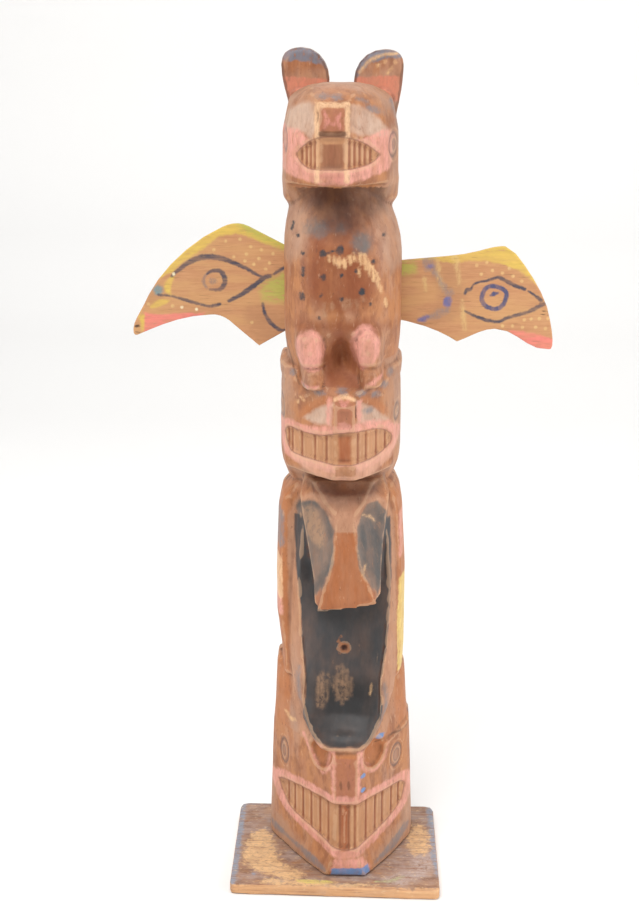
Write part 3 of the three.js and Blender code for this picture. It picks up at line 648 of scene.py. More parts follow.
# ---------------------------------------------------------------- paint on the pole
def paint_top_head(brush):
    brush.only((brush.z > 350) & (brush.y < 26))
    # bloom and sheen: a greyish bloom on the dome, with painted sheen down both sides of the head
    brush.area("bloom and sheen", [(-30, 415), (-22, 420), (2, 422), (26, 420), (34, 412), (30, 398), (16, 410), (3, 414),
                        (-10, 413), (-20, 408), (-28, 396)])
    brush.area("bloom and sheen", [(25, 396), (36, 396), (36, 362), (22, 362), (26, 378)])
    brush.area("bloom and sheen", [(-27, 394), (-36, 394), (-36, 362), (-22, 362), (-26, 378)])
    brush.only((brush.z > 355) & (brush.y < 16))
    brush.area("pink", [(-27, 397), (-28, 376), (-18, 373), (-8, 371), (4, 371), (14, 373.5), (25, 376.5),
                        (27.5, 393), (23, 396), (15, 393), (7, 390.5), (-11, 390.5), (-18, 396)])
    brush.area("bone", [(-26, 394), (-24, 403), (-18, 407.5), (-11, 407.5), (-11, 393), (-17, 395)], rounded=True)
    brush.area("bone", [(6.5, 407.5), (14, 405), (21, 399), (24, 392.5), (15, 393), (7, 396)], rounded=True)
    brush.stroke("warm", [(8.5, 396), (14, 393.3), (22, 392.4), (24.5, 394)], (0.6, 2, 0.8))
    for x in (-9.4, 4.8):
        brush.stroke("straw", [(x, 407), (x, 373)], 2.4)
    brush.stroke("straw", [(-9.5, 407.9), (5, 407.9)], 2.2)
    brush.area("rust", [(-8, 396), (-8, 406.5), (3.6, 406.5), (3.6, 396)])
    # painted shadow: a dark band across the foot of the nose, where it overhangs the mouth, laid here and again by the
    # dark stroke below
    brush.area("front tooth and nose shade", [(-8, 393.4), (-8, 396.2), (3.8, 396.2), (3.8, 393.4)])
    brush.stroke("dark line and shade", [(-7.4, 394.8), (3.2, 394.8)], 2.6)
    brush.stroke("rose", [(-5.8, 405), (-4.6, 401), (-5.2, 398)], (1, 2.4, 1.4))
    brush.stroke("rose", [(1.6, 404), (0.4, 401.4), (1.4, 397.6)], (1, 2.2, 1))
    brush.stroke("rose", [(-4.4, 402.6), (-1.8, 399), (1, 402)], (0.6, 1, 0.6))
    brush.oval("rose", (1.5, 373.6), (3, 1.8))
    brush.area("rust", [(-8, 374.2), (-8, 377.6), (3.8, 377.6), (3.8, 374.2)])
    brush.oval("slate", (-7, 411.4), (2.6, 1.3))
    brush.oval("slate", (-0.2, 411), (2.6, 1.3))
    brush.oval("slate", (17.5, 404.8), (4, 1.5), -25)
    brush.stroke("slate", [(9, 410.5), (14, 408.5)], 1.2)
    brush.stroke("slate", [(25.6, 408), (28, 400), (29.5, 392)], (2, 1.4, 1))
    brush.stroke("slate", [(-27, 409), (-29, 399), (-30, 390)], (1, 2, 1.6))


def paint_ears(brush):
    brush.only((brush.z > 398) & (brush.y > 17))
    brush.area("denim", [(-34, 424.5), (-20, 426), (-8, 423.4), (-3, 418), (-2, 440), (-34, 440)])
    brush.area("denim", [(36, 426.5), (24, 427), (15, 424.5), (8, 417.5), (5, 412), (4, 440), (36, 440)])
    brush.area("coral", [(-34, 418.5), (-20, 418), (-2, 417), (-2, 403), (-34, 403)])
    brush.area("coral", [(36, 418), (20, 418.5), (4, 417.5), (4, 404), (36, 407)])
    brush.stroke("bare", [(10, 420), (14, 425), (20, 428), (28, 429)], (0.8, 1.4, 1))
    brush.dots("bare", [(19, 423.5), (22, 425.3), (25.5, 422), (27.5, 425), (24, 420)], 0.8)


def paint_body(brush):
    brush.only((brush.z > 268) & (brush.z < 368) & (brush.y < 20))
    # bloom and sheen: a greyish bloom with painted sheen on both sides of the upper body
    brush.area("bloom and sheen", [(-28, 361), (-10, 361), (-13, 350), (-11, 342), (-19, 334), (-29, 330)])
    brush.area("bloom and sheen", [(16, 361), (32, 361), (33, 330), (26, 326), (22, 338), (18, 350)])
    # umber: a darker stain with painted shade down the middle of the belly
    brush.area("umber and shade", [(-15, 333), (-11, 347), (-4, 355), (8, 355), (15, 346), (19, 334), (18, 319), (10, 311),
                         (-7, 311), (-15, 319)], rounded=True)
    # painted shadow under the top head's chin, over the top of the body
    brush.area("chin shadow", [(-28, 384), (-16, 360), (-7, 351), (1, 347), (9, 348.5), (16, 353), (21, 359), (32, 384)])
    # umber: painted shade where the belly overhangs the legs
    brush.area("umber and shade", [(-22, 302), (-5, 306), (12, 306), (26, 302), (12, 299), (-8, 299)])
    brush.dots("speck", [(-19, 345.5), (22.5, 346), (-16.5, 337.5), (17.5, 334), (16.5, 313.5), (9.2, 330),
                         (2.4, 327.9), (2.6, 316.4), (-8.5, 307), (-7.5, 318)], 0.95)
    for spot, radii in (((-6.6, 338.2), (1.7, 1.7)), ((1.5, 340), (1.9, 2.3)), ((12.2, 319.8), (1.6, 1.7)),
                        ((-16.9, 316.7), (1.5, 2.1)), ((-6.5, 326.8), (1.4, 1.6))):
        brush.oval("speck", spot, radii, 10)
    brush.stroke("speck", [(-16.3, 330.6), (-16.4, 326.8)], 1.5)
    brush.stroke("speck", [(-21.3, 350.8), (-22.3, 347.4)], 1.3)
    brush.stroke("speck", [(-4.8, 338.4), (-1.6, 339.4)], 0.9)
    brush.oval("dab", (-9.6, 349.4), (5.6, 4))
    brush.oval("dab", (12, 342.8), (4.6, 5))
    brush.oval("dab", (2, 350), (2, 2))
    for x, low, high, width in ((-3.8, 334.6, 337.4, 1.6), (-1.4, 333.6, 336.8, 2.2), (0.8, 332.2, 336, 2.4),
                                (3.4, 331.8, 335.8, 2.6), (6.2, 333.6, 337.2, 2.2), (8, 335, 338, 1.8),
                                (11.2, 333.4, 338.2, 2), (13.4, 330.6, 337.6, 2.2), (15.2, 328, 335, 2),
                                (17.4, 325, 331.5, 2.2), (19.4, 321.6, 328, 1.8), (21, 318.6, 322.6, 1),
                                (23.4, 311.6, 315.2, 1.5), (10.4, 327.6, 331, 1.2)):
        brush.stroke("bare", [(x, high), (x + 0.5, low)], (width * 0.6, width, width * 0.5))
    for x, z, width in ((-5.6, 312.4, 1.6), (-2.6, 313.4, 1.4), (3.4, 313.6, 1.6), (5.6, 314.6, 2), (9.6, 314, 1.4),
                        (-6, 309.6, 1.2), (12.6, 317, 1)):
        brush.stroke("tan rub", [(x, z + 1), (x + 0.4, z - 1)], width * 1.2)
    brush.oval("pink", (-12.8, 291.4), (7.4, 9.6))
    brush.oval("pink", (13.8, 293.4), (7.2, 10.4))
    brush.oval("rose", (12.2, 283.4), (1.9, 2))
    brush.stroke("rose", [(-17.6, 282.2), (-12, 281.2), (-7.4, 282)], (0.6, 1.4, 0.8))
    brush.dots("rose", [(-10, 285.5), (-14, 273.2), (-10.6, 273.6), (21, 277.5)], 1)
    brush.stroke("pink", [(15, 273.6), (18, 276), (22.4, 278)], (1.4, 2.4, 1))
    brush.stroke("pink", [(-17, 273.4), (-9, 273.6)], 1.2)
    # painted shadow line along the left leg's outer side
    brush.stroke("dark line and shade", [(-26, 291), (-22, 279), (-18.5, 272)], 0.9)
    brush.only((brush.z > 246) & (brush.z < 305) & (np.abs(brush.x - 2.3) < 9) & (brush.y > -24))
    brush.area("gap", [(-5.4, 284), (-4, 296), (0, 301.5), (4.6, 301.5), (8.6, 296), (10, 284), (11, 272),
                       (-8, 272)])


def paint_middle_head(brush):
    brush.only((brush.z > 214) & (brush.z < 284) & (brush.y < 24))
    # bloom and sheen: a greyish bloom with painted sheen on both sides of the head and along its jaw
    brush.area("bloom and sheen", [(-36, 283), (-24, 283), (-21, 268), (-22, 256), (-26, 248), (-30, 230), (-36, 230)])
    brush.area("bloom and sheen", [(24, 283), (40, 283), (40, 228), (31, 228), (29, 246), (25, 256), (24, 268)])
    brush.area("bloom and sheen", [(-24, 228), (30, 228), (26, 219), (-20, 219)])
    brush.only((brush.z > 214) & (brush.z < 284) & (brush.y < 16))
    for middle, radii in [((-8.4, 270.6), (2.6, 1.5)), ((2.9, 271.6), (2.6, 1.5)), ((12.6, 270.9), (2.6, 1.4)),
                          ((19.4, 268.8), (2.4, 1.6)), ((23.4, 272), (2, 1.6)), ((15.6, 261), (2.4, 1.5)),
                          ((-22, 276), (1.8, 1.7)), ((-15.6, 273), (1.4, 1)), ((26.6, 276.6), (1.6, 1.8))]:
        brush.oval("slate", middle, radii)
    brush.area("bone", [(-1.5, 266.5), (-2.5, 255.6), (-9, 254.2), (-17, 255.6), (-9, 262.4)])
    brush.area("bone", [(10.2, 267), (10.6, 256), (17, 253.6), (26, 253.5), (19, 261)])
    brush.area("warm", [(-19.5, 255.6), (-15, 256.4), (-8, 262.6), (-1.6, 267.6), (-3.4, 270), (-10, 266.8),
                        (-16.8, 261.4)])
    brush.area("warm", [(11.2, 268), (18, 262.6), (24.4, 257), (25, 260), (20.5, 265), (14, 269.4)])
    brush.stroke("pink", [(-3.2, 267.5), (-3.4, 256)], 3)
    brush.stroke("pink", [(11.2, 266.5), (11.6, 257)], 2.4)
    brush.stroke("rose", [(1.2, 269.4), (3.9, 266), (7.2, 269.4)], (1, 2.2, 1), rounded=False)
    brush.area("rust", [(-0.4, 254), (-0.4, 267.4), (8.8, 267.4), (8.8, 254)])
    brush.stroke("pink", [(1.5, 257), (6.5, 256.4)], (1.4, 2.2, 1))
    brush.stroke("straw", [(-0.6, 268.2), (4, 269.6), (9, 268.2)], (1.4, 2, 1.4))
    brush.area("peach", [(-26, 241), (-23, 233), (-12, 228), (3, 225), (18, 227.6), (27, 233), (31, 241), (20, 236.4),
                         (8, 235.2), (-10, 235.2)])
    brush.area("chin", [(-0.3, 229.6), (-0.3, 235), (10, 235), (10, 229.6)])
    brush.dots("bare", [(-17.6, 266), (-19.4, 263.2), (-16.4, 265.2)], 0.8)


def paint_bird(brush):
    brush.only((brush.z > 76) & (brush.z < 224) & (brush.y < 6) & (brush.normal[:, 1] < 0.35))
    brush.area("salmon", [(-25.5, 200), (-25.4, 175), (-25, 153), (-24, 125), (-23.8, 97), (-19, 78), (-4, 79),
                          (14, 79), (27, 79.5), (30.8, 95), (31.8, 126), (31.4, 154), (31, 176), (29.5, 200),
                          (25, 212), (19, 216), (-13, 216), (-19, 212)])
    hollow = [(-21.8, 201), (-21, 176), (-18.7, 156), (-17.3, 130), (-15.7, 116), (-15.6, 103), (-17.2, 94),
              (-17.2, 88), (-12.5, 84.5), (-6.2, 82.2), (-2.5, 81.2), (12, 81.4), (17.3, 82.8), (21.4, 87.8),
              (24, 93), (24.9, 100.7), (22.8, 109), (25.2, 123.4), (26.4, 130), (27.2, 140), (28.2, 156),
              (28.4, 177), (27.8, 201)]
    everywhere = brush.where
    brush.only(everywhere & ((brush.z < 161) | (brush.y > -12.5)))
    brush.area("black", hollow)
    # deep black: a painted shadow under the beak, and the black darker near the hollow's foot
    brush.area("shaded black", [(-14, 172), (24, 172), (22, 150), (15, 143), (0, 141), (-9, 146), (-14, 158)])
    brush.area("shaded black", [(-16, 112), (24, 112), (23, 92), (18, 84), (-10, 83), (-16, 92)])
    brush.only(everywhere & (brush.y < -2))
    # umber: painted shade on the bird's forehead under the middle head's chin
    brush.area("umber and shade", [(-11, 218), (19, 218), (10, 204), (5, 200), (-1, 204)])
    # a darker painted shadow right under the middle head's chin
    brush.area("chin shadow", [(-13, 220), (21, 220), (12, 213.5), (-4, 213.5)])
    brush.area("charcoal", [(-21, 205), (-17, 211), (-11, 212), (-5.5, 208), (-1.4, 200), (-0.9, 193),
                            (-0.8, 184), (-4.2, 176), (-10, 164.6), (-12.5, 164), (-15, 176), (-19, 194)])
    brush.area("charcoal", [(25.5, 206), (21, 212), (16, 212), (12.6, 207), (10.9, 200), (10.9, 192),
                            (12, 181.4), (15.9, 175), (20.3, 168), (21, 164.5), (24, 172), (26.8, 192)])
    brush.stroke("deep charcoal", [(-19.5, 205), (-15, 210), (-9.5, 210.4), (-4, 204), (-2.4, 196)], (1.6, 2.6, 2))
    brush.stroke("deep charcoal", [(-17.6, 196), (-16.4, 186), (-14.6, 175), (-12, 167), (-8, 172), (-3.6, 181)],
                 (1, 3, 2))
    brush.area("deep charcoal", [(24, 204), (20, 210), (15.6, 210), (12, 200), (13.4, 186), (18, 177), (22, 171),
                                 (25, 186)])
    brush.area("tan rub", [(-17.5, 206), (-12, 209), (-7, 203), (-5.5, 194), (-8, 189), (-13, 193)], rounded=True)
    brush.area("ochre", [(-1.2, 199), (10.8, 199), (10.9, 192), (12, 181), (16, 175), (20.4, 168), (20.8, 161),
                         (-9.6, 158), (-10, 164.6), (-4.2, 176), (-0.8, 184), (-0.9, 193)])
    brush.only(everywhere)
    for x, low, high, width in ((-9, 99, 113, 1.6), (-7, 98, 115, 2.2), (-4.6, 101, 114, 1.4), (-1, 105, 112, 1.2),
                                (1, 101, 117, 2.2), (3.4, 99, 118, 2.4), (5.8, 101, 116, 2.2), (8, 103, 112, 1.4)):
        brush.stroke("tan rub", [(x, high), (x, low)], (width * 0.5, width, width * 0.6))
    brush.stroke("bare", [(18.8, 110), (18.2, 104)], 0.5)
    brush.stroke("bare", [(13.5, 206.5), (17, 205), (19.5, 202.3)], (0.4, 1, 0.4))
    brush.stroke("bare", [(15, 182), (13.6, 178)], 0.7)
    brush.area("pink", [(-16, 94), (-15.6, 89), (-11, 85), (-5.8, 81.6), (-7.5, 80.4), (-13, 83.5), (-17, 89)])
    brush.stroke("slate", [(-19, 120), (-19.8, 112), (-18.6, 102)], (1, 2.6, 1))
    brush.stroke("slate", [(25.6, 112), (26.4, 98), (23, 88)], (1, 2, 1))
    brush.oval("knot", (4.3, 128), (1.7, 1.5))
    brush.oval("knot rim", (4.3, 128), (3.4, 3))
    brush.stroke("knot rim", [(2, 130.5), (1.4, 133), (3, 134.4)], (1.2, 0.6))
    brush.only((brush.z > 76) & (brush.z < 214) & (brush.y > -6) & (brush.y < 24))
    brush.area("warm", [(-34, 212), (-24, 212), (-25, 176), (-25, 78), (-36, 78)])
    brush.area("warm", [(40, 212), (29, 212), (32, 176), (32, 78), (42, 78)])
    brush.stroke("slate", [(-29.5, 200), (-29.5, 184)], 5)
    brush.stroke("straw", [(-30.5, 175), (-30, 155)], 4)
    brush.stroke("pink", [(-30.5, 153), (-30, 146)], 4)
    brush.stroke("yellow", [(34.2, 165), (34.6, 114)], (3, 5, 4))
    brush.stroke("pink", [(33, 200), (33.5, 178)], 2)


def paint_bottom_head(brush):
    brush.only((brush.z < 96) & (brush.y < 22))
    # bloom and sheen: a greyish bloom with painted sheen on both sides of the bottom head
    brush.area("bloom and sheen", [(-40, 46), (-34, 46), (-33, 22), (-12, 14), (-4, 10), (-4, 4), (-42, 4)])
    brush.area("bloom and sheen", [(46, 46), (39, 46), (37, 22), (22, 14), (20, 4), (46, 4)])
    brush.area("warm", [(12, 82), (14, 76), (17, 67), (24, 66.5), (27.6, 74), (26, 82)])
    brush.area("warm", [(-16, 82), (-6.8, 67), (-2.4, 80)])
    brush.area("warm", [(0, 78), (0, 49), (12, 49), (12, 78)])
    brush.area("rust", [(0.4, 50.5), (0.4, 76), (11.6, 76), (11.6, 50.5)])
    for x in (3.5, 7.6):
        brush.stroke("dark line and shade", [(x - 0.4, 63.4), (x, 58.8)], (1, 1.8, 1))
    for x in (-0.6, 12.6):
        brush.stroke("pink", [(x, 79), (x, 50)], 1.8)
    brush.dots("cobalt", [(14.9, 64.7), (14.9, 56.5)], 1.3)
    brush.oval("cobalt", (23.6, 80), (2.2, 1.6))
    brush.stroke("pink", [(13.6, 79), (15, 69), (20.6, 64), (26, 67), (28, 74)], 1.5)
    brush.stroke("pink", [(-17, 81), (-12, 71.5), (-6.8, 65), (-3.2, 70), (-2, 79)], 1.5)
    brush.area("pink", [(-2.4, 9.6), (0.4, 17.5), (14.6, 17.5), (19.6, 9.6)])
    brush.area("cobalt", [(-2.6, 4), (-1.4, 11.6), (18, 12), (19.8, 4)])
    brush.stroke("dark line and shade", [(21, 77), (28, 77.5), (37, 75.5), (44, 77)], 0.8)
    brush.only((brush.z < 30) & (brush.y < 26))
    brush.stroke("slate", [(-34, 13), (-24, 12.4), (-12, 11), (-5, 9)], (5, 2, 5, 2))
    brush.stroke("slate", [(38, 15), (32, 12), (22, 10)], (5, 6, 1))
    brush.only((brush.z > 78) & (brush.z < 112) & (brush.y < 26))
    brush.stroke("bare", [(-27, 87), (-24, 84.5), (-22, 85)], (1, 2.4, 1))
    # bloom and sheen: a greyish bloom with painted sheen high on the bottom head's left side
    brush.area("bloom and sheen", [(-34, 96), (-22, 92), (-18, 80), (-34, 76)])


def paint_mouths(brush):
    facing = (brush.normal[:, 1] < 0.3) & (brush.y < 14)
    for mouth, lip in ((MOUTHS["top"], 0.0), (MOUTHS["middle"], 4.2), (MOUTHS["bottom"], 5.0)):
        outline = mouth_outline(mouth)
        brush.only(facing)
        chosen = brush.near(outline, 9)
        inside = outline_field(brush.u[chosen], brush.v[chosen], outline)
        brush.lay("mouth", chosen, inside)
        if lip:
            brush.lay("pink", chosen, np.minimum(inside + lip, -inside - 0.2))
        wave = brush.fields.setdefault("tooth", np.full(len(brush.u), NOWHERE))
        wave[chosen] = zigzag(brush.u[chosen], mouth["cuts"])
    brush.block_out("pink", "mouth")
    brush.only((brush.z > 376) & (brush.z < 392) & (brush.y < -20))
    brush.area("front tooth and nose shade", [(-7.6, 378.8), (-7.6, 390), (3.4, 390), (3.4, 378.8)])
    brush.only((brush.z > 234) & (brush.z < 253) & (brush.y < -24))
    brush.area("warm tooth", [(1.4, 236.4), (1.4, 250.6), (7.4, 250.6), (7.4, 236.4)])
    brush.only((brush.z > 20) & (brush.z < 52) & (brush.y < -24))
    brush.area("warm tooth", [(3, 22), (3, 49), (7.4, 49), (7.4, 22)])


def paint_side_ovals(brush):
    sides = np.abs(brush.x - 2.6) > 19
    for ovals in SIDE_OVALS.values():
        for middle, radii in ovals:
            brush.only(sides & (brush.y < 18) & ((brush.x < 2.6) == (middle[0] < 2.6)))
            brush.oval("ring", middle, radii)


POLE_FIELDS = (
    "coral", "knot", "knot rim", "speck", "peach", "chin", "bloom and sheen", "umber and shade", "chin shadow", "gap", "warm", "pink",
    "rose", "bone", "ochre", "rust", "front tooth and nose shade", "warm tooth", "straw", "yellow", "slate", "dab", "denim",
    "cobalt", "black", "shaded black", "charcoal", "deep charcoal", "tan rub", "bare", "salmon", "dark line and shade", "mouth",
    "tooth", "ring",
)


def pole_finish(looks):
    made = Coating("Painted pole", {"Light": colour(looks.stain_light), "Dark": colour(looks.stain_dark),
                                    "Streak Width": 2.6, "Contrast": 1.0})
    made.mottle((0.47, 0.2, 0.075), size=10, share=0.45, cover=0.55)
    made.mottle((0.43, 0.25, 0.17), size=15, share=0.2, cover=0.45)
    made.mottle((0.19, 0.062, 0.028), size=7, share=0.3, cover=0.5)
    # a greyish bloom, with painted sheen where the sides of the carving catch the light
    made.coat("bloom and sheen", (0.42, 0.26, 0.18), soft=3.5, wander=2.4, wear=0.3, cover=0.6, patch=8)
    made.coat("warm", (0.43, 0.155, 0.055), soft=1.4, wander=0.9, wear=0.2, cover=0.85, patch=5)
    # umber: darker brown, partly stain and partly painted shade, on the belly, with painted shade under the chins
    made.coat("umber and shade", (0.22, 0.058, 0.02), soft=4.5, wander=2.4, wear=0.1, cover=0.85, patch=9)
    made.coat("salmon", (0.45, 0.235, 0.14), soft=0.9, wear=0.25, cover=0.85, patch=6)
    made.coat("ochre", (0.35, 0.115, 0.04), soft=0.7, wander=0.5, wear=0.12, stretch=(1, 1, 0.15))
    made.coat("rust", (0.36, 0.135, 0.075), soft=0.5, wander=0.4, wear=0.3, patch=2.5)
    made.mottle((0.12, 0.05, 0.03), size=1.5, share=-0.15, cover=0.45, stretch=(1, 1, 0.6), edge=0.06)
    made.mottle((0.6, 0.38, 0.24), size=1.8, share=-0.2, cover=0.4, stretch=(1, 1, 0.3), edge=0.06)
    made.coat("bone", (0.52, 0.36, 0.27), soft=1.2, wander=0.8, wear=0.26, cover=0.9)
    made.coat("coral", (0.58, 0.21, 0.13), soft=0.8, wander=1.0, wear=0.3, patch=3.5, thin=0.45)
    made.coat("pink", looks.pink, soft=1.0, wander=1.1, wear=0.3, patch=3.4, thin=0.5)
    made.coat("peach", (0.62, 0.33, 0.23), soft=1.4, wander=1.2, wear=0.24, patch=5, thin=0.5, cover=0.85)
    made.coat("chin", (0.36, 0.16, 0.075), soft=0.5, wander=0.5, wear=0.2, patch=3)
    made.coat("rose", (0.62, 0.25, 0.2), soft=0.7, wander=0.6, wear=0.36, patch=1.8, cover=0.75)
    made.coat("straw", (0.74, 0.47, 0.27), soft=0.6, wander=0.6, wear=0.34, patch=3, cover=0.9)
    made.coat("yellow", (0.68, 0.5, 0.16), soft=0.6, wander=0.7, wear=0.3, patch=3)
    made.coat("slate", (0.19, 0.18, 0.19), soft=1.1, wander=0.9, wear=0.36, patch=2.4, cover=0.8)
    made.coat("dab", (0.1, 0.125, 0.13), soft=2.6, wander=2.0, wear=0.2, patch=3, cover=0.75)
    made.coat("denim", (0.18, 0.185, 0.22), soft=0.8, wander=1.2, wear=0.34, patch=3.5)
    made.coat("cobalt", (0.14, 0.24, 0.45), soft=0.4, wander=0.5, wear=0.14, patch=2, thin=0.2)
    made.coat("charcoal", (0.13, 0.11, 0.095), soft=0.7, wander=0.8, wear=0.22, patch=6, cover=0.95)
    made.coat("deep charcoal", (0.06, 0.06, 0.06), soft=2.2, wander=1.8, wear=0.3, patch=6, cover=0.8)
    made.coat("black", looks.black, soft=0.6, wander=0.6, wear=0.04, patch=8, thin=0.15)
    # deeper black: a painted shadow under the beak, and darker near the hollow's foot
    made.coat("shaded black", (0.022, 0.021, 0.021), soft=6, wander=3, wear=0.05, patch=9, cover=0.85)
    made.coat("tan rub", (0.4, 0.23, 0.13), soft=1.6, wander=1.2, wear=0.4, patch=3, stretch=(0.6, 1, 0.35),
              cover=0.7)
    made.coat("ring", (0.24, 0.18, 0.15), soft=0.6, wander=0.3, wear=0.34, cover=0.3)
    made.coat("teeth", (0.47, 0.235, 0.115), field=made.field("mouth"), soft=0.4, wander=0.15, wear=0.1, cover=0.85,
              stretch=(1, 1, 0.12))
    # brown of the top head's front tooth, and a painted shadow across the foot of its nose
    made.coat("front tooth and nose shade", (0.26, 0.1, 0.05), soft=0.6, wander=0.3, wear=0.1, patch=3, stretch=(1, 1, 0.2))
    made.coat("warm tooth", (0.33, 0.095, 0.035), soft=1.2, wander=0.6, wear=0.12, patch=3, stretch=(1, 1, 0.2))
    made.wear(bare=(0.6, 0.37, 0.22, 1), dirt=(0.11, 0.045, 0.025, 1), rub=0.36, soil=0.7)
    cuts = maths(made.tree, "MINIMUM", made.line("tooth", 0.45), made.field("mouth"))
    made.coat("tooth cuts", (0.26, 0.075, 0.03), field=cuts, soft=0.5, wander=0.15, wear=0.1, cover=0.85)
    made.coat("mouth line", (0.2, 0.095, 0.065), field=made.line("mouth", 0.3), soft=0.35, wander=0.15, wear=0.36,
              cover=0.7)
    made.coat("ring line", (0.15, 0.11, 0.1), field=made.line("ring", 0.28), soft=0.35, wander=0.2, wear=0.36,
              cover=0.55)
    inner = maths(made.tree, "SUBTRACT", 0.25, maths(made.tree, "ABSOLUTE",
                                                     maths(made.tree, "SUBTRACT", made.field("ring"), 1.3)))
    made.coat("inner ring", (0.15, 0.1, 0.085), field=inner, soft=0.3, wander=0.2, wear=0.38, cover=0.55)
    made.coat("knot rim", (0.36, 0.14, 0.06), soft=0.6, wander=1.4, wear=0.3, patch=2)
    made.coat("knot", (0.05, 0.014, 0.008), soft=0.5, wander=0.4, wear=0.05, patch=2)
    # dark lines: the nostril marks and a line on the bottom head, with a painted shadow under the top head's nose and
    # along the left leg
    made.coat("dark line and shade", (0.1, 0.04, 0.02), soft=0.5, wander=0.2, wear=0.15, cover=0.8)
    # painted shadow under the chins, laid after the wear
    made.coat("chin shadow", (0.045, 0.016, 0.01), soft=7, wander=3, wear=0.05, patch=10, cover=0.9)
    made.coat("gap", (0.27, 0.085, 0.04), soft=2.4, wander=1.6, wear=0.15, patch=5, cover=0.75)
    made.coat("bare", (0.66, 0.4, 0.2), soft=0.9, wander=0.8, wear=0.26, patch=1.8, stretch=(1, 1, 0.3))
    made.coat("speck", (0.035, 0.035, 0.04), soft=0.6, wander=0.8, wear=0.2, patch=1.6, thin=0.3)
    return made.close(0.56, gloss_on=("black",), gloss_rough=0.42)


# ---------------------------------------------------------------- paint on the wings and the board
def paint_left_wing(brush):
    brush.only(brush.normal[:, 1] < 0.2)
    brush.area("yellow", [(-101, 308), (-92.7, 316.4), (-86.2, 319.7), (-78.9, 325.5), (-72.4, 330.1), (-65.9, 334.6),
                          (-62, 338), (-53.6, 339.6), (-46, 338.3), (-39.6, 335.4), (-32.6, 333.2), (-18, 330),
                          (-18, 350), (-60, 356), (-100, 330), (-114, 308)])
    brush.area("green", [(-60, 352), (-47, 340), (-36, 334.6), (-18, 329), (-18, 350)])
    brush.area("green", [(-41.2, 313), (-35.3, 316.7), (-18, 324), (-18, 305), (-36.7, 304.3), (-40, 305.6)])
    brush.stroke("yellow", [(-86, 317), (-88.6, 312), (-87, 308)], (2, 4, 1))
    brush.stroke("yellow", [(-88, 304.8), (-92.5, 303.6), (-97, 301.4)], (1, 3, 1.6))
    brush.stroke("yellow", [(-103.4, 309), (-104, 300)], (1, 2.4))
    brush.area("yellow", [(-104, 297), (-102.4, 289), (-100, 288), (-100.6, 297.6)])
    brush.area("brown rub", [(-47, 303), (-33, 300), (-26, 292), (-34, 284), (-42, 286), (-48, 294)], rounded=True)
    brush.area("brown rub", [(-100, 311), (-95, 314), (-90, 308), (-94, 303), (-101, 304)], rounded=True)
    brush.stroke("ink", [(-86.2, 317.7), (-81.6, 321.6), (-77, 324.9), (-71.2, 327.3), (-65.4, 327.8),
                         (-59.6, 326.9), (-53.9, 324.7), (-48.1, 322.2), (-43, 319.3), (-39.2, 317.4)],
                 (1.4, 2.4, 2.8, 2.9, 2.2, 1.7, 1.3))
    brush.stroke("ink", [(-93.3, 307.9), (-86.5, 307.3), (-79.5, 305.4), (-71.7, 303.1), (-66.6, 302.2),
                         (-61.4, 303.2)], (1.2, 1, 1.8, 1.3, 1.5, 1.7))
    brush.stroke("ink", [(-56.8, 304.9), (-49.6, 308.8), (-43.1, 313.4), (-37.9, 317.4), (-35.3, 318)],
                 (1.6, 2.6, 2.4, 1.8))
    brush.stroke("ink", [(-33.4, 319), (-31.4, 320.3), (-27, 323)], (1, 1.7, 1.6))
    brush.stroke("ink", [(-39.3, 303.7), (-38.1, 298.4), (-34.9, 293.2), (-31.7, 290.6), (-29.1, 289.6),
                         (-22, 289)], (1.3, 2, 1.8, 1.5))
    brush.stroke("ink", [(-66.5, 310.8), (-61.5, 311), (-59, 313.6), (-58.8, 317.4), (-61, 320.4), (-65, 320.6),
                         (-67.6, 319)], (1, 2.2, 2.6, 2.4, 2, 1))
    brush.stroke("faint ink", [(-67.6, 319.4), (-69.8, 315.6), (-67.8, 311.4)], (1, 1.6, 1))
    brush.oval("faint ink", (-64.8, 315.3), (2, 1.6))
    brush.area("pink", [(-100.8, 298.6), (-94, 297.4), (-88.8, 297.8), (-78, 298.6), (-69.2, 298.9), (-71.9, 294),
                        (-80, 286), (-101.6, 282)])
    brush.oval("tip", (-104.8, 291.4), (1.5, 0.8))
    brush.stroke("tip", [(-106, 288.4), (-103.6, 288)], 0.5)
    brush.oval("teal", (-93.3, 310.5), (2.8, 2.4), 40)
    brush.dots("dots", [(-57.9, 335.9), (-50.5, 336.9), (-45.1, 333.1), (-39.7, 331.5), (-33.6, 329.6),
                        (-47.4, 329.3), (-53.8, 327.9), (-41, 327), (-48.1, 325.7), (-43.6, 324.1), (-35.6, 324.8),
                        (-37.5, 321.6), (-64, 331.4), (-86, 302.1), (-98.7, 303), (-45, 293.6)], 0.85)
    brush.dots("light dots", [(-81.2, 301.4), (-73.7, 300.5), (-85, 318.8)], 0.8)


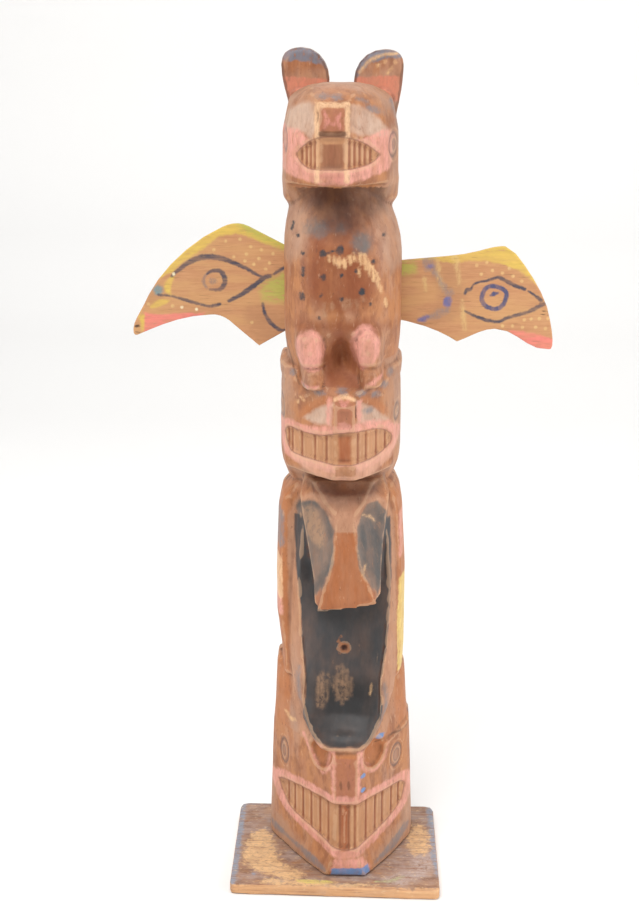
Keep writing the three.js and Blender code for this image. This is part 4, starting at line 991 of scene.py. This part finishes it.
def paint_right_wing(brush):
    brush.only(brush.normal[:, 1] < 0.2)
    brush.area("yellow", [(30, 327.6), (48, 327.2), (59.4, 325), (64.4, 326.3), (73.3, 326.7), (79.7, 325.8),
                          (86.1, 323.9), (92.6, 321.3), (97.8, 317.5), (102.4, 313.6), (110, 308), (114, 330),
                          (84, 342), (30, 342)])
    brush.area("green", [(20, 327), (38.9, 326), (39.6, 321), (36, 318.6), (20, 318.6)])
    brush.area("brown rub", [(46, 330), (60, 328), (61, 320), (66, 310), (60, 296), (50, 292), (44, 296),
                             (52, 306), (47, 320)])
    brush.area("grey", [(41, 330), (49, 329), (49.4, 322.4), (44.4, 321)])
    brush.stroke("grey", [(47.9, 322.7), (51.2, 317.2), (54.6, 312.1), (57.2, 309.5)], (4, 2, 3, 4))
    brush.stroke("grey", [(46.6, 297.2), (51, 298.6), (56.4, 301.4)], (2, 4, 3))
    brush.oval("blue", (56, 305.2), (2.2, 2.6))
    brush.stroke("blue", [(41.4, 295.5), (43.7, 296), (45.6, 297.4)], (1.6, 3.2, 2))
    brush.oval("blue", (46.6, 323.6), (1.6, 1.2))
    brush.stroke("straw", [(59.3, 328), (60.7, 322.4), (62, 314)], (3.6, 2.6, 1))
    brush.stroke("straw", [(63.6, 306), (64.2, 298.4), (65.3, 291.5)], (1, 2.6, 2))
    brush.stroke("straw", [(50.6, 326), (51.4, 318), (54, 312)], (2.4, 3, 1))
    brush.stroke("straw", [(44, 317), (45, 311)], (2, 1))
    brush.stroke("ink", [(64.9, 309.5), (66, 311.6), (67.8, 311.6), (69.8, 314.7), (76.2, 316.4), (81.9, 317.9),
                         (86.4, 315.8), (91, 313.6), (95.5, 312)], (1.4, 1.8, 1, 1.3, 1.8, 2, 1.6))
    brush.stroke("ink", [(97.1, 311), (101.4, 308.3), (104, 306)], (0.7, 1.4, 2.2))
    brush.stroke("ink", [(65.1, 300.4), (72.9, 296.8), (82, 294.9), (87.1, 297), (97.2, 300), (101.6, 302.3),
                         (106, 304.6)], (0.9, 1.8, 1.6, 1.7, 1.8, 2.2, 2))
    brush.stroke("navy", [(79.6, 313.4), (83.6, 312.2), (86, 309.8), (85.4, 305.4), (83.4, 302.6), (79.8, 301.6),
                          (75.6, 303.2), (73.6, 306.6), (74.6, 311), (76.6, 313)], 2.3, closed=True)
    brush.stroke("navy", [(77.8, 308.6), (79.8, 309.4), (81.6, 310)], (0.8, 2.4, 1.2))
    brush.area("pink", [(88, 290.4), (94, 289.8), (100.2, 289.2), (106, 287.6), (114, 285.4), (114, 279),
                        (96.5, 279)])
    brush.stroke("tip", [(104.9, 300.7), (108.1, 300.3)], 0.5)
    brush.stroke("tip", [(104.3, 299), (108.5, 298.4)], 0.4)
    brush.dots("dots", [(75.6, 325.7), (70.5, 324.1), (87.1, 322.6), (78.6, 321.6), (83.7, 320.3), (89.2, 318.7),
                        (72.9, 319.6), (93.7, 316.2), (103.5, 296.7), (99.3, 296.4), (95.8, 296), (107.9, 296.8),
                        (101.7, 292.1), (95, 292.1), (106.9, 291.5), (89.8, 292.7), (84.7, 292.7)], 0.85)


WING_FIELDS = ("yellow", "green", "pink", "teal", "grey", "blue", "navy", "straw", "ink", "faint ink", "tip", "dots",
               "light dots", "brown rub")


def wing_finish(looks):
    made = Coating("Painted wing board", {
        "Light": colour(looks.wing_light), "Dark": colour(looks.wing_dark), "Streak Width": 1.3, "Contrast": 1.0,
        "Stretch": (0.08, 1, 1)})
    along = (0.22, 1, 1)
    made.mottle((0.62, 0.36, 0.15), size=8, share=0.35, cover=0.4, stretch=along)
    made.coat("brown rub", (0.4, 0.2, 0.1), soft=3, wander=2, wear=0.3, cover=0.5, patch=5, stretch=along)
    made.coat("yellow", (0.68, 0.48, 0.1), soft=1.0, wander=0.9, wear=0.3, patch=4, stretch=along, cover=0.95)
    made.coat("green", (0.42, 0.45, 0.09), soft=2.4, wander=1.6, wear=0.36, patch=3.5, stretch=along, cover=0.8)
    made.coat("pink", (0.76, 0.22, 0.18), soft=0.8, wander=0.8, wear=0.3, patch=3.5, stretch=along)
    made.coat("straw", (0.66, 0.46, 0.2), soft=1.2, wander=1.0, wear=0.42, patch=3, cover=0.7)
    made.coat("grey", (0.27, 0.21, 0.2), soft=1.4, wander=1.2, wear=0.4, patch=2.5, cover=0.75)
    made.coat("blue", (0.13, 0.14, 0.32), soft=0.9, wander=0.7, wear=0.3, patch=2)
    made.coat("teal", (0.2, 0.27, 0.27), soft=1.0, wander=0.8, wear=0.3, patch=2)
    made.coat("faint ink", (0.2, 0.16, 0.16), soft=0.7, wander=0.5, wear=0.42, patch=1.6, cover=0.75)
    made.coat("ink", (0.075, 0.068, 0.09), soft=0.5, wander=0.45, wear=0.2, patch=2, thin=0.4, stretch=along)
    made.coat("navy", (0.08, 0.085, 0.17), soft=0.4, wander=0.4, wear=0.2, patch=2)
    made.coat("tip", (0.03, 0.02, 0.02), soft=0.3, wander=0.3, wear=0.1, patch=1.5)
    made.coat("dots", (0.72, 0.5, 0.22), soft=0.45, wander=0.3, wear=0.24, patch=2, cover=0.75)
    made.coat("light dots", (0.85, 0.75, 0.5), soft=0.45, wander=0.3, wear=0.2, patch=2)
    made.mottle((0.2, 0.1, 0.05), size=0.9, share=-0.15, cover=0.5, stretch=(0.07, 1, 1), edge=0.06)
    made.wear(bare=(0.78, 0.58, 0.34, 1), rub=0.65, soil=0.4, reach=0.05)
    return made.close(0.62, bump=0.3)


def paint_board(brush):
    brush.only(brush.normal[:, 2] > 0.5)
    brush.area("coat", [(-60, -50), (60, -50), (60, 50), (-60, 50)])
    brush.area("raw", [(-48, 6), (-42, 14), (-36, 8), (-33, -6), (-28, -20), (-16, -32), (-24, -37), (-40, -30),
                       (-50, -16)], rounded=True)
    brush.area("raw", [(-36, -36), (-10, -38), (16, -40), (20, -43), (-30, -42)], rounded=True)
    brush.area("raw", [(40, -4), (43, 20), (50, 18), (52, -2), (46, -10)], rounded=True)
    brush.area("chalk", [(24, -34), (36, -26), (46, -12), (53, -8), (54, -22), (46, -34), (34, -40)], rounded=True)
    brush.stroke("blue", [(-54.6, 44), (-55, 0), (-54.4, -42)], (4, 5, 6, 4))
    brush.stroke("blue", [(53.6, 44), (54.4, 10), (55, -30)], (4, 4, 5, 2))
    brush.stroke("grey", [(-52, 42.5), (-30, 43)], 3)
    brush.stroke("yellow", [(-19, -37.4), (-10, -38.2), (0, -38)], (2, 4, 1))
    brush.stroke("green", [(22, -37), (30, -36), (36, -32)], (1, 3, 2))
    brush.dots("blue", [(-4, -40.4), (-40, 16), (-43, -32)], 1)
    brush.only((brush.normal[:, 1] < -0.3) | (brush.y < -41.5))
    brush.area("edge wood", [(-60, -50), (60, -50), (60, -41.6), (40, -42.6), (20, -41.4), (0, -42.8), (-30, -41.2),
                             (-60, -42.4)])


BOARD_FIELDS = ("coat", "raw", "chalk", "blue", "grey", "yellow", "green", "edge wood")


def board_finish(looks):
    along = (0.25, 1, 1)
    made = Coating("Worn base board", {
        "Light": colour(looks.board_light), "Dark": colour(looks.board_dark), "Streak Width": 2.0, "Contrast": 1.0,
        "Stretch": (0.06, 1, 1)})
    made.coat("coat", (0.31, 0.2, 0.155), soft=0.8, wander=1.2, wear=0.36, patch=6, stretch=along, cover=0.9)
    made.mottle((0.42, 0.34, 0.32), size=9, share=0.35, cover=0.45, stretch=(0.6, 1, 1))
    made.mottle((0.17, 0.085, 0.055), size=5, share=0.25, cover=0.5, stretch=(0.5, 1, 1))
    made.coat("chalk", (0.5, 0.4, 0.36), soft=3, wander=3, wear=0.42, patch=4, cover=0.7)
    made.coat("grey", (0.24, 0.22, 0.23), soft=1.4, wander=1.2, wear=0.34, patch=4, cover=0.8)
    made.coat("blue", (0.27, 0.3, 0.36), soft=1.2, wander=1.6, wear=0.34, patch=3.5)
    made.coat("raw", (0.74, 0.47, 0.24), soft=2.2, wander=5, wear=0.36, patch=3.2, stretch=(0.6, 1, 1), thin=0.4)
    made.coat("yellow", (0.68, 0.55, 0.16), soft=0.9, wander=1.2, wear=0.4, patch=3)
    made.coat("green", (0.45, 0.46, 0.24), soft=0.9, wander=1.2, wear=0.42, patch=3, cover=0.7)
    made.coat("edge wood", (0.68, 0.38, 0.19), soft=0.8, wander=1.6, wear=0.14, patch=3, stretch=(0.06, 1, 1),
              cover=0.9)
    made.mottle((0.26, 0.1, 0.045), size=1.4, share=0.1, cover=0.5, stretch=(0.06, 1, 1))
    made.mottle((0.7, 0.5, 0.3), size=1.4, share=-0.05, cover=0.5, stretch=(0.5, 1, 1), edge=0.05)
    made.wear(bare=(0.7, 0.45, 0.24, 1), rub=0.6, soil=0.5, reach=0.06)
    return made.close(0.68, bump=0.35)


# ---------------------------------------------------------------- settings, operators and panel
class TotemPoleLooks(bpy.types.PropertyGroup):
    """Sizes and colours of the totem pole."""

    pole_mesh: FloatProperty(name="Pole mesh", description="Spacing of the pole's mesh, in mm",
                             default=0.98, min=0.6, max=4)
    wing_mesh: FloatProperty(name="Wing mesh", description="Spacing of the wing boards' mesh, in mm",
                             default=0.55, min=0.4, max=3)
    board_mesh: FloatProperty(name="Board mesh", description="Spacing of the base board's mesh, in mm",
                              default=0.9, min=0.5, max=4)
    easing: IntProperty(name="Easing", description="How many times carved edges are smoothed", default=2, min=0, max=20)
    tooth_cut: FloatProperty(name="Tooth cut", description="Depth of the cuts between teeth, in mm",
                             default=0.35, min=0, max=2)
    facet: FloatProperty(name="Knife facets", description="Depth of the knife facets, in mm",
                         default=0.35, min=0, max=2)
    stain_light: FloatVectorProperty(name="Light stain", description="Lighter tone of the stained wood",
                                     subtype="COLOR", default=(0.47, 0.2, 0.088), min=0, max=1)
    stain_dark: FloatVectorProperty(name="Dark stain", description="Darker tone of the stained wood",
                                    subtype="COLOR", default=(0.29, 0.11, 0.052), min=0, max=1)
    pink: FloatVectorProperty(name="Pink", description="Pink of the lips, cheeks, ears and knees",
                              subtype="COLOR", default=(0.66, 0.3, 0.235), min=0, max=1)
    black: FloatVectorProperty(name="Black", description="Black of the bird's eyes and hollow front",
                               subtype="COLOR", default=(0.052, 0.051, 0.053), min=0, max=1)
    wing_light: FloatVectorProperty(name="Wing light", description="Lighter tone of the wing boards",
                                    subtype="COLOR", default=(0.6, 0.32, 0.155), min=0, max=1)
    wing_dark: FloatVectorProperty(name="Wing dark", description="Darker tone of the wing boards",
                                   subtype="COLOR", default=(0.46, 0.21, 0.1), min=0, max=1)
    board_light: FloatVectorProperty(name="Board light", description="Lighter tone of the board's bare wood",
                                     subtype="COLOR", default=(0.6, 0.33, 0.15), min=0, max=1)
    board_dark: FloatVectorProperty(name="Board dark", description="Darker tone of the board's bare wood",
                                    subtype="COLOR", default=(0.38, 0.17, 0.08), min=0, max=1)


class TOTEM_OT_carve_pole(bpy.types.Operator):
    """Carves and paints the pole, all in one piece."""

    bl_idname = "totem.carve_pole"
    bl_label = "Carve the pole"

    def execute(self, context):
        looks = context.scene.totem_pole
        piece = solid_copy("pole", "carved_pole")
        dense(piece, looks.pole_mesh, looks.easing)
        open_back_to_flat(piece, front_of=BACK_CUT, back=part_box("pole")[1].y / MM)
        soften_hollows(piece)
        brush = Brush(piece)
        paint_top_head(brush)
        paint_ears(brush)
        paint_body(brush)
        paint_middle_head(brush)
        paint_bird(brush)
        paint_bottom_head(brush)
        paint_mouths(brush)
        paint_side_ovals(brush)
        brush.store(POLE_FIELDS)
        carve(piece, pole_finish(looks), **{"Tooth Cut Depth": looks.tooth_cut, "Facet Depth": looks.facet, "Seed": 4})
        worn_edges(piece)
        finish_piece(piece, "pole")
        return {"FINISHED"}


class TOTEM_OT_cut_wings(bpy.types.Operator):
    """Makes the two thin wing boards and paints an eye on each."""

    bl_idname = "totem.cut_wings"
    bl_label = "Cut the wings"

    def execute(self, context):
        looks = context.scene.totem_pole
        finish = wing_finish(looks)
        for side, paint, seed in (("left", paint_left_wing, 11), ("right", paint_right_wing, 12)):
            piece = solid_copy("wing_" + side, side + "_wing")
            dense(piece, looks.wing_mesh, 1)
            brush = Brush(piece)
            paint(brush)
            brush.store(WING_FIELDS)
            carve(piece, finish, **{"Tooth Cut Depth": 0.0, "Outline Depth": 0.0, "Groove Depth": 0.0,
                                    "Facet Depth": 0.12, "Facet Length": 6.0, "Facet Width": 9.0, "Seed": seed})
            worn_edges(piece)
            finish_piece(piece, "wing_" + side)
        return {"FINISHED"}


class TOTEM_OT_cut_board(bpy.types.Operator):
    """Makes the worn base board."""

    bl_idname = "totem.cut_board"
    bl_label = "Cut the base board"

    def execute(self, context):
        looks = context.scene.totem_pole
        piece = solid_copy("base_board", "board")
        dense(piece, looks.board_mesh, 1)
        brush = Brush(piece, 0, 1)
        paint_board(brush)
        brush.store(BOARD_FIELDS)
        carve(piece, board_finish(looks), **{"Tooth Cut Depth": 0.0, "Outline Depth": 0.0, "Groove Depth": 0.0,
                                             "Facet Depth": 0.2, "Facet Length": 9.0, "Facet Width": 9.0, "Seed": 21})
        worn_edges(piece)
        finish_piece(piece, "base_board")
        return {"FINISHED"}


class TOTEM_OT_set_stage(bpy.types.Operator):
    """Lays the pale floor and sets the lights and the camera."""

    bl_idname = "totem.set_stage"
    bl_label = "Set the stage"

    def execute(self, context):
        scene = context.scene
        floor_material = bpy.data.materials.new("Pale floor")
        floor_material.use_nodes = True
        shader = floor_material.node_tree.nodes["Principled BSDF"]
        shader.inputs["Base Color"].default_value = (0.92, 0.915, 0.905, 1)
        shader.inputs["Roughness"].default_value = 0.8
        bm = bmesh.new()
        left, right = [[bm.verts.new((x, y, z)) for y, z in FLOOR_SECTION]
                       for x in (-FLOOR_HALF_WIDTH, FLOOR_HALF_WIDTH)]
        for i in range(len(FLOOR_SECTION) - 1):
            bm.faces.new((left[i], right[i], right[i + 1], left[i + 1]))
        mesh = bpy.data.meshes.new("floor")
        bm.to_mesh(mesh)
        bm.free()
        floor = new_piece("floor", mesh)
        floor.data.materials.append(floor_material)
        for polygon in floor.data.polygons:
            polygon.use_smooth = True

        world = bpy.data.worlds.new("Studio")
        world.use_nodes = True
        background = world.node_tree.nodes["Background"]
        background.inputs["Color"].default_value = (1, 0.99, 0.98, 1)
        background.inputs["Strength"].default_value = STUDIO_LIGHT
        scene.world = world
        for name, (place, size, power) in LIGHTS.items():
            light = bpy.data.lights.new(name, "AREA")
            light.size = size
            light.energy = power
            lamp = bpy.data.objects.new(name, light)
            lamp.location = place
            lamp.rotation_euler = (Vector(LIGHT_AIM) - lamp.location).to_track_quat("-Z", "Y").to_euler()
            scene.collection.objects.link(lamp)

        camera = bpy.data.objects.new("Camera", bpy.data.cameras.new("Camera"))
        camera.location = Vector(CAMERA_PLACE) * MM
        camera.rotation_euler = (math.radians(CAMERA_TILT), 0, math.radians(CAMERA_TURN))
        camera.data.lens = CAMERA_LENS
        camera.data.sensor_width = CAMERA_SENSOR
        scene.collection.objects.link(camera)
        scene.camera = camera
        scene.view_settings.view_transform = "Standard"
        return {"FINISHED"}


class TOTEM_PT_panel(bpy.types.Panel):
    """The totem pole's settings and steps."""

    bl_idname = "TOTEM_PT_panel"
    bl_label = "Totem Pole"
    bl_space_type = "VIEW_3D"
    bl_region_type = "UI"
    bl_category = "Totem Pole"

    def draw(self, context):
        looks = context.scene.totem_pole
        for name in TotemPoleLooks.__annotations__:
            self.layout.prop(looks, name)
        for step in STEPS:
            self.layout.operator(step.bl_idname)


STEPS = (TOTEM_OT_carve_pole, TOTEM_OT_cut_wings, TOTEM_OT_cut_board, TOTEM_OT_set_stage)
CLASSES = (TotemPoleLooks, *STEPS, TOTEM_PT_panel)


def register():
    for cls in CLASSES:
        bpy.utils.register_class(cls)
    bpy.types.Scene.totem_pole = PointerProperty(type=TotemPoleLooks)


def unregister():
    del bpy.types.Scene.totem_pole
    for cls in reversed(CLASSES):
        bpy.utils.unregister_class(cls)


def main():
    register()
    bpy.ops.totem.carve_pole()
    bpy.ops.totem.cut_wings()
    bpy.ops.totem.cut_board()
    bpy.ops.totem.set_stage()


if __name__ == "__main__":
    main()
